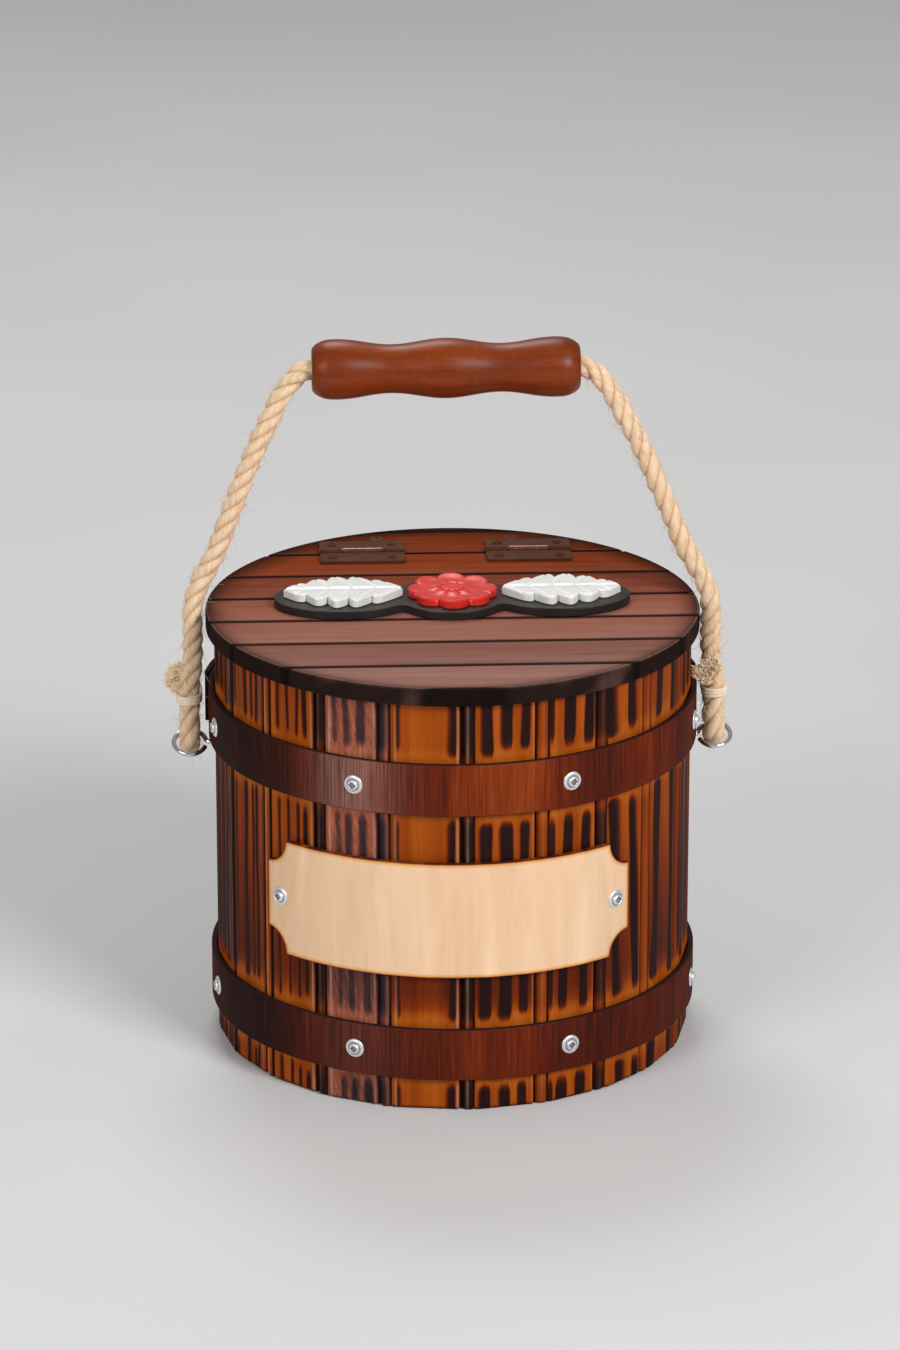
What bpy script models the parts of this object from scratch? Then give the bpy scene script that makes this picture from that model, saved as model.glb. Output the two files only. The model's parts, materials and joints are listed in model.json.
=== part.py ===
"""Wooden champagne bucket with a hinged plank lid and a rope handle.

Units are metres, +Z is up. The origin is on the floor in the middle of the bucket, -Y is
the front with the nameplate, and the lid's hinges are at the back. X runs along the handle.
"""

import math

import bmesh
import bpy
from mathutils import Matrix, Vector

# Fits and clearances
FIT_GAP = 0.0003          # between pieces that touch
HOLE_CLEARANCE = 0.0003   # round a screw in its hole
PIN_CLEARANCE = 0.00025   # round a hinge pin in its knuckles
WIRE_CLEARANCE = 0.0005   # between the rope's eye and the wire it hangs on
BAND_CLEARANCE = 0.0004   # between a binding and the rope it holds

# Shading: edges sharper than these stay hard
CREASE = math.radians(40)
TUBE_CREASE = math.radians(70)

# Coopered body
STAVE_COUNT = 21
STAVE_HEIGHT = 0.2154
STAVE_THICKNESS = 0.0140
BODY_FLAT_RADIUS = 0.1197   # from the axis to a stave's flat face
ARRIS_WIDTH = 0.0030        # bevel along one edge of a stave
ARRIS_DEPTH = 0.0018
BEAD_WIDTH = 0.0055         # round bead along a stave's other edge
QUIRK_WIDTH = 0.0022        # narrow groove between the bead and the face
QUIRK_DEPTH = 0.0016
BEAD_DROP = 0.0011          # how far the bead's sides fall below the face
BEAD_STEPS = 4
CROZE_DEPTH = 0.0040        # groove that holds the base board
CROZE_HEIGHT = 0.0180
BASE_THICKNESS = 0.0100

# Plywood hoops
HOOP_THICKNESS = 0.0029
HOOP_HEIGHT = 0.0270
TOP_HOOP_DROP = 0.0574      # from the staves' upper ends to the top hoop's lower edge
BOTTOM_HOOP_Z = 0.0178      # lower edge
HOOP_SCREWS = 7
HOOP_STEPS = 84                 # facets all the way round
LAP_START = math.radians(99)    # where the rear half of the top hoop begins, from the front
LAP_END = math.radians(105)     # where the front half ends under it
LAP_REST = math.radians(1)      # how far past that end the rear half stays raised
LAP_BLEND = math.radians(10)    # over which it then drops back onto the staves
HOOP_SEAM = 0.0008              # butt joint of the bottom hoop, at the back

# Nameplate
PLATE_THICKNESS = 0.0030
PLATE_HEIGHT = 0.0600
PLATE_LENGTH = 0.2000       # along the curve
PLATE_LIFT = 0.0016         # above the middle between the hoops
PLATE_TURN = math.radians(-4.0)
PLATE_NOTCH = 0.0125        # radius of the hollow corners
PLATE_SCREW_INSET = 0.0085
PLATE_STEPS = 30
NOTCH_SIDES = 24

# Lid
LID_OVERHANG = 0.0050        # past the staves' faces
LID_THICKNESS = 0.0094
PLANK_GAP = 0.0008
PLANK_ARRIS = 0.0010
PLANK_FACET = math.radians(5)   # of the round rim
PLANK_MIN_STEPS = 6
HINGE_SHARE = 2 / 3          # of the lid's radius, from the middle back to the hinge line
HINGE_GAP = 0.0020
FRONT_PLANKS = 6
BATTEN_X = 0.0300
BATTEN_WIDTH = 0.0200
BATTEN_THICKNESS = 0.0090
BATTEN_CLEARANCE = 0.0030   # from a batten's corners to the staves
REAR_SCREW_SHARE = 0.28      # of the lid's radius, from the middle to each rear screw

# Butt hinges
HINGE_SPREAD = 0.345        # of the lid's radius, from the middle to each hinge
HINGE_LENGTH = 0.0440
LEAF_WIDTH = 0.0165
LEAF_THICKNESS = 0.0012
LEAF_CORNER = 0.0012
BARREL_RADIUS = 0.0017
PIN_RADIUS = 0.0009
MIDDLE_KNUCKLE = 0.0205
KNUCKLE_GAP = 0.0004
LEAF_RELIEF = 0.0005        # from a leaf's edge to the other leaf's knuckles
BARREL_SIDES = 16

# Screws
WASHER_HEAD_RADIUS = 0.0049
WASHER_HEAD_HEIGHT = 0.0022
WASHER_RECESS_RADIUS = 0.0018
WASHER_RECESS_DEPTH = 0.0014
WASHER_RECESS_TAPER = 0.9   # the recess's floor to its mouth
WASHER_DOME = ((0.55, 1.0), (0.85, 0.51), (1.0, 0.3))   # shares of the head's radius and height
SCREW_RADIUS = 0.0017
SCREW_LENGTH = 0.0110
SUNK_HEAD_RADIUS = 0.0036
SUNK_SCREW_LENGTH = 0.0300
SCREW_SIDES = 12

# Screw eyes
EYE_DROP = 0.0045           # below the top hoop
EYE_STANDOFF = 0.0137       # from the staves' faces to the ring's middle
EYE_RADIUS = 0.0082         # to the middle of the wire
EYE_WIRE = 0.0012           # radius of the wire
EYE_TILT = math.radians(27.6)
EYE_FILLET = 0.0030         # bend between shank and ring
EYE_DEPTH = 0.0100          # shank in the stave
EYE_END = math.radians(158)  # where the open ring stops
EYE_BEND_STEPS = 4
EYE_STEPS = 28
EYE_RESOLUTION = 1

# Rope handle
ROPE_RADIUS = 0.0053
ROPE_RESOLUTION = 3
BAND_RISE = 0.0235          # from the eye up to the binding
BAND_HEIGHT = 0.0042
BAND_THICKNESS = 0.0009
BOUND_SPREAD = 0.0057       # half the distance between the bound strands
GRIP_RISE = 0.1226          # from the lid up to the grip's middle
GRIP_LENGTH = 0.1340
GRIP_SHIFT = -0.0030        # the grip sits a little to the left on the rope
GRIP_BULGE = 0.01475        # radii
GRIP_WAIST = 0.01170
GRIP_END = 0.0105
GRIP_PITCH = 0.0624         # from one bulge to the next
GRIP_ROUND = 0.0065         # length of the rounded ends
GRIP_BORE = 0.0062
GRIP_MOUTH = 0.0025         # the rope runs straight this far past the grip's ends
GRIP_SIDES = 24
GRIP_STEPS = 22
GRIP_END_STEPS = 4

# Ornament on the lid
PLAQUE_THICKNESS = 0.0042
PLAQUE_Y = 0.0030
PLAQUE_MARGIN = 0.0050      # of the backing round the reliefs
RELIEF_THICKNESS = 0.0042
LEAF_LENGTH = 0.0600
LEAF_HALF_WIDTH = 0.0190
LEAF_LOBES = 5
LEAF_NOTCH = 0.34           # share of the half width cut away between two lobes
LEAF_FULLNESS = 0.7         # below 1 rounds the lobes and the whole leaf
LEAF_LEAN = 0.8             # below 1 puts the widest place nearer the stalk
LEAF_SWEEP = 0.45           # how far the lobes lean towards the tip
LEAF_TIP = 0.0006           # half the width of the blunt tip
ROSETTE_RADIUS = 0.0225
ROSETTE_LOBES = 8
ROSETTE_NOTCH = 0.18
ROSETTE_FULLNESS = 0.6
ROSETTE_LEAF_GAP = 0.0025

# Sizes worked out from the ones above
STAVE_ANGLE = 2 * math.pi / STAVE_COUNT
BODY_INNER_RADIUS = BODY_FLAT_RADIUS - STAVE_THICKNESS
STAVE_HALF_WIDTH = BODY_FLAT_RADIUS * math.tan(STAVE_ANGLE / 2)
BODY_RADIUS = math.hypot(BODY_FLAT_RADIUS, STAVE_HALF_WIDTH - ARRIS_WIDTH)
HOOP_INNER = BODY_RADIUS + FIT_GAP
HOOP_OUTER = HOOP_INNER + HOOP_THICKNESS
PLATE_INNER = BODY_RADIUS + FIT_GAP
PLATE_OUTER = PLATE_INNER + PLATE_THICKNESS
PLATE_SPAN = PLATE_LENGTH / PLATE_OUTER
TOP_HOOP_Z = STAVE_HEIGHT - TOP_HOOP_DROP
PLATE_MIDDLE_Z = (BOTTOM_HOOP_Z + HOOP_HEIGHT + TOP_HOOP_Z) / 2 + PLATE_LIFT
PLATE_Z = PLATE_MIDDLE_Z - PLATE_HEIGHT / 2
LID_RADIUS = BODY_FLAT_RADIUS + LID_OVERHANG
HINGE_Y = HINGE_SHARE * LID_RADIUS
HINGE_X = HINGE_SPREAD * LID_RADIUS
PLANK_PITCH = (HINGE_Y + LID_RADIUS) / FRONT_PLANKS
LID_BOTTOM = STAVE_HEIGHT + FIT_GAP
LID_TOP = LID_BOTTOM + LID_THICKNESS
REAR_SCREW_X = REAR_SCREW_SHARE * LID_RADIUS
REAR_SCREW_RADIUS = BODY_FLAT_RADIUS - STAVE_THICKNESS / 2
REAR_SCREW_Y = math.sqrt(REAR_SCREW_RADIUS ** 2 - REAR_SCREW_X ** 2)
PIN_Z = LID_TOP + FIT_GAP + LEAF_THICKNESS
EYE_Z = TOP_HOOP_Z - EYE_DROP
EYE_CENTRE = BODY_FLAT_RADIUS + EYE_STANDOFF
PIVOT_Y = EYE_RADIUS * math.cos(EYE_TILT)
PIVOT_Z = EYE_Z + EYE_RADIUS * math.sin(EYE_TILT)
BAND_Z = EYE_Z + BAND_RISE
GRIP_Z = LID_TOP + GRIP_RISE
EYE_LOOP = EYE_WIRE + WIRE_CLEARANCE + ROPE_RADIUS
PLAQUE_BOTTOM = LID_TOP + FIT_GAP
RELIEF_BOTTOM = PLAQUE_BOTTOM + PLAQUE_THICKNESS + FIT_GAP

# One leg of the rope above its binding, chosen by hand as shares: of the way from the grip's
# mouth out to the eye, of the way from the binding up to the grip, and of the bound strand's
# distance from the handle's plane
ROPE_LEG = (
    (0.973, 0.105, 0.70),
    (0.967, 0.199, 0.32),
    (0.960, 0.281, 0.0),
    (0.894, 0.352, 0.0),
    (0.775, 0.434, 0.0),
    (0.673, 0.528, 0.0),
    (0.563, 0.634, 0.0),
    (0.446, 0.740, 0.0),
    (0.321, 0.838, 0.0),
    (0.196, 0.927, 0.0),
    (0.097, 0.974, 0.0),
)
ROPE_LEAN_START = 0.281     # share of that height above which the leg leans with the shifted grip
# Cut ends of the bound tails, left and right: outwards, back and up from the binding's middle
TAIL_OFFSETS = ((0.0051, 0.0065, 0.0160), (-0.0028, -0.0113, 0.0150))
ROPE_STEP = 0.0130
LOOP_STEPS = 9


def clear_scene():
    for item in list(bpy.data.objects):
        bpy.data.objects.remove(item, do_unlink=True)


def make_collection(name):
    collection = bpy.data.collections.new(name)
    bpy.context.scene.collection.children.link(collection)
    return collection


clear_scene()
PARTS = make_collection("champagne_bucket")
CUTTERS = make_collection("cutters")


def material(name, colour, roughness, metallic=0.0):
    """A plain finish from an sRGB colour written as three numbers from 0 to 255."""
    finish = bpy.data.materials.new(name)
    finish.use_nodes = True
    shader = finish.node_tree.nodes["Principled BSDF"]
    linear = [((c / 255 + 0.055) / 1.055) ** 2.4 for c in colour]
    shader.inputs["Base Color"].default_value = (*linear, 1)
    shader.inputs["Roughness"].default_value = roughness
    shader.inputs["Metallic"].default_value = metallic
    finish.diffuse_color = (*linear, 1)
    return finish


CHARRED_PINE = material("charred_pine", (150, 82, 26), 0.38)
PALE_PINE = material("pale_pine", (196, 150, 98), 0.55)
HOOP_PLY = material("stained_plywood", (78, 34, 24), 0.40)
BIRCH_PLY = material("birch_plywood", (236, 202, 160), 0.55)
LID_PINE = material("stained_pine", (112, 64, 50), 0.42)
GRIP_WOOD = material("turned_mahogany", (112, 48, 18), 0.28)
ROPE_FIBRE = material("sisal_rope", (222, 188, 144), 0.85)
BAND_PLASTIC = material("cream_binding", (226, 208, 182), 0.50)
ZINC = material("zinc_plated_steel", (205, 208, 212), 0.28, 1.0)
BRONZED = material("bronzed_steel", (96, 52, 40), 0.40, 0.8)
BLACK_ACRYLIC = material("black_acrylic", (38, 34, 33), 0.35)
WHITE_ACRYLIC = material("white_acrylic", (238, 238, 236), 0.30)
RED_ACRYLIC = material("red_acrylic", (214, 34, 28), 0.30)


def pivot(name, place, parent=None):
    """An empty on a joint's axis, which carries the pieces of one moving body."""
    empty = bpy.data.objects.new(name, None)
    empty.location = place
    PARTS.objects.link(empty)
    if parent:
        hang(empty, parent)
    bpy.context.view_layer.update()
    return empty


def hang(item, parent):
    """Parents a piece and leaves it where it is in the world."""
    bpy.context.view_layer.update()
    item.parent = parent
    item.matrix_parent_inverse = parent.matrix_world.inverted()


def as_part(name, mesh, finish, parent=None, smooth=None):
    mesh.materials.clear()
    mesh.materials.append(finish)
    if smooth is not None:
        mesh.shade_smooth()
        mesh.set_sharp_from_angle(angle=smooth)
    item = bpy.data.objects.new(name, mesh)
    PARTS.objects.link(item)
    if parent:
        hang(item, parent)
    return item


def as_cutter(name, mesh):
    item = bpy.data.objects.new(name, mesh)
    item.hide_render = True
    item.display_type = "WIRE"
    CUTTERS.objects.link(item)
    return item


def baked(item):
    """The evaluated mesh of an object, with its caps welded; the object is removed."""
    bpy.context.view_layer.update()
    graph = bpy.context.evaluated_depsgraph_get()
    mesh = bpy.data.meshes.new_from_object(item.evaluated_get(graph))
    mesh.transform(item.matrix_world)
    work = bmesh.new()
    work.from_mesh(mesh)
    bmesh.ops.remove_doubles(work, verts=work.verts, dist=1e-6)
    bmesh.ops.recalc_face_normals(work, faces=work.faces)
    work.to_mesh(mesh)
    work.free()
    mesh.name = item.name
    bpy.data.objects.remove(item, do_unlink=True)
    return mesh


def combine(item, cutter, operation="DIFFERENCE"):
    change = item.modifiers.new(cutter.name, "BOOLEAN")
    change.object = cutter
    change.operation = operation
    change.solver = "EXACT"


def outline_mesh(name, outlines, bottom, height):
    """A flat plate: closed outlines in the XY plane, inner ones being holes, raised by height."""
    curve = bpy.data.curves.new(name, "CURVE")
    curve.dimensions = "2D"
    curve.fill_mode = "BOTH"
    curve.extrude = height / 2
    for outline in outlines:
        spline = curve.splines.new("POLY")
        spline.points.add(len(outline) - 1)
        for point, (x, y) in zip(spline.points, outline):
            point.co = (x, y, 0, 1)
        spline.use_cyclic_u = True
    item = bpy.data.objects.new(name, curve)
    item.location.z = bottom + height / 2
    bpy.context.scene.collection.objects.link(item)
    return baked(item)


def tube_mesh(name, points, radius, resolution):
    curve = bpy.data.curves.new(name, "CURVE")
    curve.dimensions = "3D"
    curve.bevel_depth = radius
    curve.bevel_resolution = resolution
    curve.use_fill_caps = True
    spline = curve.splines.new("POLY")
    spline.points.add(len(points) - 1)
    for point, place in zip(spline.points, points):
        point.co = (*place, 1)
    item = bpy.data.objects.new(name, curve)
    bpy.context.scene.collection.objects.link(item)
    return baked(item)


def turned_mesh(name, profile, sides, closed=False):
    """A profile of (radius, height) points, top to bottom on the outside, spun about Z."""
    work = bmesh.new()
    points = [work.verts.new((r, 0, z)) for r, z in profile]
    pairs = list(zip(points, points[1:]))
    if closed:
        pairs.append((points[-1], points[0]))
    for pair in pairs:
        work.edges.new(pair)
    mesh = bpy.data.meshes.new(name)
    work.to_mesh(mesh)
    work.free()
    item = bpy.data.objects.new(name, mesh)
    bpy.context.scene.collection.objects.link(item)
    spin = item.modifiers.new("spin", "SCREW")
    spin.axis = "Z"
    spin.steps = sides
    spin.render_steps = sides
    spin.use_merge_vertices = True
    spin.merge_threshold = 0.00001
    return baked(item)


def cylinder_mesh(name, radius, length, sides):
    """A round bar along Z, centred on the origin."""
    work = bmesh.new()
    bmesh.ops.create_cone(
        work, cap_ends=True, segments=sides, radius1=radius, radius2=radius, depth=length
    )
    mesh = bpy.data.meshes.new(name)
    work.to_mesh(mesh)
    work.free()
    return mesh


def box_mesh(name, low, high):
    work = bmesh.new()
    bmesh.ops.create_cube(work, size=1)
    low, high = Vector(low), Vector(high)
    for vertex in work.verts:
        vertex.co = (low + high) / 2 + vertex.co * (high - low)
    mesh = bpy.data.meshes.new(name)
    work.to_mesh(mesh)
    work.free()
    return mesh


def aimed(mesh, place, direction):
    """Turns a mesh so that its +Z points along a direction, and moves it to a place."""
    turn = Vector(direction).to_track_quat("Z", "Y").to_matrix().to_4x4()
    mesh.transform(Matrix.Translation(Vector(place)) @ turn)
    return mesh


def arc(radius, start, stop, steps):
    """Points of an arc in plan; angles go from the front towards +X."""
    angles = [start + (stop - start) * i / steps for i in range(steps + 1)]
    return [(radius * math.sin(a), -radius * math.cos(a)) for a in angles]


def outward(angle):
    """The direction that faces away from the axis at an angle from the front."""
    return Vector((math.sin(angle), -math.cos(angle), 0))


def soften(item, width, angle=math.radians(50)):
    edge = item.modifiers.new("arris", "BEVEL")
    edge.width = width
    edge.segments = 1
    edge.limit_method = "ANGLE"
    edge.angle_limit = angle


# Staves and base


def stave_outline():
    """A stave's section seen from above, with its face towards -Y: bevel, face, quirk and bead."""
    slope = math.tan(STAVE_ANGLE / 2)
    side = FIT_GAP / 2 / math.cos(STAVE_ANGLE / 2)
    face, back = BODY_FLAT_RADIUS, BODY_INNER_RADIUS
    bevel_root = face - ARRIS_DEPTH
    bead_radius = BEAD_WIDTH / 2
    right = face * slope - side
    bead_middle = right - bead_radius
    bead_left = bead_middle - bead_radius
    points = [
        (-(back * slope - side), -back),
        (-(bevel_root * slope - side), -bevel_root),
        (-(STAVE_HALF_WIDTH - ARRIS_WIDTH), -face),
        (bead_left - QUIRK_WIDTH, -face),
        (bead_left - QUIRK_WIDTH / 2, -(face - QUIRK_DEPTH)),
    ]
    for i in range(BEAD_STEPS):
        turn = math.pi * (1 - i / BEAD_STEPS)
        drop = BEAD_DROP * (1 - math.sin(turn))
        points.append((bead_middle + bead_radius * math.cos(turn), -(face - drop)))
    bead_root = face - BEAD_DROP
    points.append((bead_root * slope - side, -bead_root))
    points.append((back * slope - side, -back))
    return points


def build_body():
    blank = bpy.data.objects.new("stave", outline_mesh("stave", [stave_outline()], 0, STAVE_HEIGHT))
    bpy.context.scene.collection.objects.link(blank)
    base_radius = BODY_INNER_RADIUS + CROZE_DEPTH
    groove = cylinder_mesh(
        "croze", base_radius / math.cos(math.pi / (2 * STAVE_COUNT)),
        BASE_THICKNESS + 2 * FIT_GAP, 2 * STAVE_COUNT,
    )
    groove.transform(Matrix.Translation((0, 0, CROZE_HEIGHT + BASE_THICKNESS / 2)))
    combine(blank, as_cutter("croze", groove))
    stave = baked(blank)
    staves = []
    for i in range(STAVE_COUNT):
        item = as_part(f"stave_{i + 1:02d}", stave.copy(), CHARRED_PINE)
        item.rotation_euler.z = (i + 0.5) * STAVE_ANGLE
        staves.append(item)
    base = cylinder_mesh("base_board", base_radius - FIT_GAP, BASE_THICKNESS, 2 * STAVE_COUNT)
    base.transform(Matrix.Translation((0, 0, CROZE_HEIGHT + BASE_THICKNESS / 2)))
    as_part("base_board", base, PALE_PINE)
    return staves


def stave_at(staves, angle):
    return staves[int((angle % (2 * math.pi)) // STAVE_ANGLE)]


# Hoops and nameplate


def washer_profile():
    """The domed top of a washer-head screw, from the middle of its recess out to its lip."""
    floor = WASHER_HEAD_HEIGHT - WASHER_RECESS_DEPTH
    dome = [(r * WASHER_HEAD_RADIUS, h * WASHER_HEAD_HEIGHT) for r, h in WASHER_DOME]
    return [
        (0, floor),
        (WASHER_RECESS_RADIUS * WASHER_RECESS_TAPER, floor),
        (WASHER_RECESS_RADIUS, WASHER_HEAD_HEIGHT),
        *dome,
    ]


def add_hoop_screws(hoop, lower, first, last):
    """Washer heads on every third stave, made one with the hoop that they hold."""
    height = lower + HOOP_HEIGHT / 2
    step = 2 * math.pi / HOOP_SCREWS
    for i in range(HOOP_SCREWS):
        angle = (i + 0.5) * step
        if not first < angle < last:
            continue
        head = turned_mesh(f"{hoop.name}_screw_{i + 1}", [
            *washer_profile(),
            (WASHER_HEAD_RADIUS, -HOOP_THICKNESS / 2),
            (0, -HOOP_THICKNESS / 2),
        ], SCREW_SIDES)
        place = outward(angle) * (HOOP_OUTER - FIT_GAP)
        aimed(head, (place.x, place.y, height), outward(angle))
        combine(hoop, as_cutter(head.name, head), "UNION")


def band_outline(start, stop, inner):
    """A bent strip seen from above: inner(angle) is its inner radius."""
    steps = round((stop - start) / (2 * math.pi) * HOOP_STEPS)
    angles = [start + (stop - start) * i / steps for i in range(steps + 1)]
    outside = [arc(inner(a) + HOOP_THICKNESS, a, a, 1)[0] for a in angles]
    inside = [arc(inner(a), a, a, 1)[0] for a in reversed(angles)]
    return outside + inside


def lapped_radius(angle):
    """Inner radius of the rear half hoop: it lies on the front half, then on the staves."""
    from_front = min(angle, 2 * math.pi - angle)
    drop = (from_front - LAP_END - LAP_REST) / LAP_BLEND
    drop = min(max(drop, 0), 1)
    smooth = drop * drop * (3 - 2 * drop)
    return HOOP_INNER + (1 - smooth) * (HOOP_THICKNESS + FIT_GAP)


def bent_hoop(name, lower, outline):
    return as_part(name, outline_mesh(name, [outline], lower, HOOP_HEIGHT), HOOP_PLY, smooth=CREASE)


def on_staves(angle):
    """Inner radius of a hoop that lies on the staves at every angle."""
    return HOOP_INNER


def build_hoops():
    turn = 2 * math.pi
    seam = HOOP_SEAM / HOOP_OUTER / 2
    front = bent_hoop("top_hoop_front", TOP_HOOP_Z, band_outline(-LAP_END, LAP_END, on_staves))
    rear = bent_hoop(
        "top_hoop_rear", TOP_HOOP_Z, band_outline(LAP_START, turn - LAP_START, lapped_radius))
    bottom = bent_hoop(
        "bottom_hoop", BOTTOM_HOOP_Z, band_outline(-math.pi + seam, math.pi - seam, on_staves))
    add_hoop_screws(front, TOP_HOOP_Z, 0, LAP_START)
    add_hoop_screws(front, TOP_HOOP_Z, turn - LAP_START, turn)
    add_hoop_screws(rear, TOP_HOOP_Z, LAP_END + LAP_BLEND, turn - LAP_END - LAP_BLEND)
    rear_seam = math.pi / HOOP_SCREWS / 2
    add_hoop_screws(bottom, BOTTOM_HOOP_Z, 0, math.pi - rear_seam)
    add_hoop_screws(bottom, BOTTOM_HOOP_Z, math.pi + rear_seam, turn)


def build_nameplate(staves):
    start, stop = PLATE_TURN - PLATE_SPAN / 2, PLATE_TURN + PLATE_SPAN / 2
    outline = arc(PLATE_OUTER, start, stop, PLATE_STEPS)
    outline += arc(PLATE_INNER, stop, start, PLATE_STEPS)
    plate = as_part("nameplate", outline_mesh("nameplate", [outline], PLATE_Z, PLATE_HEIGHT),
                    BIRCH_PLY, smooth=CREASE)
    middle = (PLATE_INNER + PLATE_OUTER) / 2
    for side, angle in enumerate((start, stop)):
        for level, height in enumerate((PLATE_Z, PLATE_Z + PLATE_HEIGHT)):
            notch = cylinder_mesh(
                f"notch_{side}_{level}", PLATE_NOTCH, 4 * PLATE_THICKNESS, NOTCH_SIDES)
            place = outward(angle) * middle
            combine(plate, as_cutter(notch.name, aimed(notch, (*place.xy, height), outward(angle))))
    inset = PLATE_SCREW_INSET / PLATE_OUTER
    for name, angle in (("left", start + inset), ("right", stop - inset)):
        add_plate_screw(f"nameplate_screw_{name}", angle, plate, stave_at(staves, angle))


def add_plate_screw(name, angle, plate, stave):
    """A washer-head screw through the nameplate into a stave, with its hole in both."""
    screw = turned_mesh(name, [
        *washer_profile(),
        (WASHER_HEAD_RADIUS, 0),
        (SCREW_RADIUS, 0),
        (SCREW_RADIUS, 2 * SCREW_RADIUS - SCREW_LENGTH),
        (0, -SCREW_LENGTH),
    ], SCREW_SIDES)
    direction = outward(angle)
    seat = direction * (PLATE_OUTER + FIT_GAP)
    aimed(screw, (*seat.xy, PLATE_MIDDLE_Z), direction)
    as_part(name, screw, ZINC, smooth=CREASE)
    length = SCREW_LENGTH + FIT_GAP + HOLE_CLEARANCE
    hole = cylinder_mesh(f"{name}_hole", SCREW_RADIUS + HOLE_CLEARANCE, 2 * length, SCREW_SIDES)
    aimed(hole, (*seat.xy, PLATE_MIDDLE_Z), direction)
    cutter = as_cutter(hole.name, hole)
    combine(plate, cutter)
    combine(stave, cutter)


# Lid


def plank_outline(back, front):
    """The part of the lid's disc between two lines across it."""
    def across(y):
        return math.atan2(math.sqrt(max(LID_RADIUS ** 2 - y * y, 0)), -y)
    first, last = across(front), across(back)
    steps = max(PLANK_MIN_STEPS, round((last - first) / PLANK_FACET))
    right = arc(LID_RADIUS, first, last, steps)
    left = [(-x, y) for x, y in reversed(right)]
    if front <= -LID_RADIUS:
        left = left[:-1]
    if back >= LID_RADIUS:
        left = left[1:]
    return right + left


def build_lid(lid):
    rear_edge = HINGE_Y + HINGE_GAP / 2
    rear = as_part("lid_rear_plank", outline_mesh(
        "lid_rear_plank", [plank_outline(LID_RADIUS, rear_edge)], LID_BOTTOM, LID_THICKNESS), LID_PINE)
    soften(rear, PLANK_ARRIS)
    back = HINGE_Y - HINGE_GAP / 2
    for i in range(FRONT_PLANKS):
        front = HINGE_Y - (i + 1) * PLANK_PITCH + PLANK_GAP / 2
        if i == FRONT_PLANKS - 1:
            front = -LID_RADIUS
        name = f"lid_plank_{i + 1}"
        plank = as_part(name, outline_mesh(
            name, [plank_outline(back, front)], LID_BOTTOM, LID_THICKNESS), LID_PINE, lid)
        soften(plank, PLANK_ARRIS)
        back = front - PLANK_GAP
    reach = BODY_INNER_RADIUS - BATTEN_CLEARANCE
    top = LID_BOTTOM - FIT_GAP
    outer = BATTEN_X + BATTEN_WIDTH / 2
    front = -math.sqrt(reach ** 2 - outer ** 2)
    back = HINGE_Y - PLANK_PITCH / 2
    for side, name in ((-1, "lid_batten_left"), (1, "lid_batten_right")):
        middle = side * BATTEN_X
        batten = as_part(name, box_mesh(
            name, (middle - BATTEN_WIDTH / 2, front, top - BATTEN_THICKNESS),
            (middle + BATTEN_WIDTH / 2, back, top)), PALE_PINE, lid)
        soften(batten, PLANK_ARRIS)
    return rear


def add_rear_screws(rear, staves):
    for side, name in ((-1, "rear_plank_screw_left"), (1, "rear_plank_screw_right")):
        screw = turned_mesh(name, [
            (0, 0),
            (SUNK_HEAD_RADIUS, 0),
            (SCREW_RADIUS, SCREW_RADIUS - SUNK_HEAD_RADIUS),
            (SCREW_RADIUS, 2 * SCREW_RADIUS - SUNK_SCREW_LENGTH),
            (0, -SUNK_SCREW_LENGTH),
        ], SCREW_SIDES)
        place = (side * REAR_SCREW_X, REAR_SCREW_Y, LID_TOP)
        screw.transform(Matrix.Translation(place))
        as_part(name, screw, BRONZED, smooth=CREASE)
        wide = SUNK_HEAD_RADIUS + HOLE_CLEARANCE
        narrow = SCREW_RADIUS + HOLE_CLEARANCE
        hole = turned_mesh(f"{name}_hole", [
            (0, 2 * HOLE_CLEARANCE),
            (wide + 2 * HOLE_CLEARANCE, 2 * HOLE_CLEARANCE),
            (narrow, narrow - wide),
            (narrow, -SUNK_SCREW_LENGTH - HOLE_CLEARANCE),
            (0, -SUNK_SCREW_LENGTH - HOLE_CLEARANCE),
        ], SCREW_SIDES)
        hole.transform(Matrix.Translation(place))
        cutter = as_cutter(hole.name, hole)
        combine(rear, cutter)
        combine(stave_at(staves, math.atan2(place[0], -place[1])), cutter)


# Hinges


def barrel_piece(name, radius, centre, length):
    """A round bar along X on the hinge's axis."""
    bar = cylinder_mesh(name, radius, length, BARREL_SIDES)
    return aimed(bar, (centre, HINGE_Y, PIN_Z), (1, 0, 0))


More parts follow.
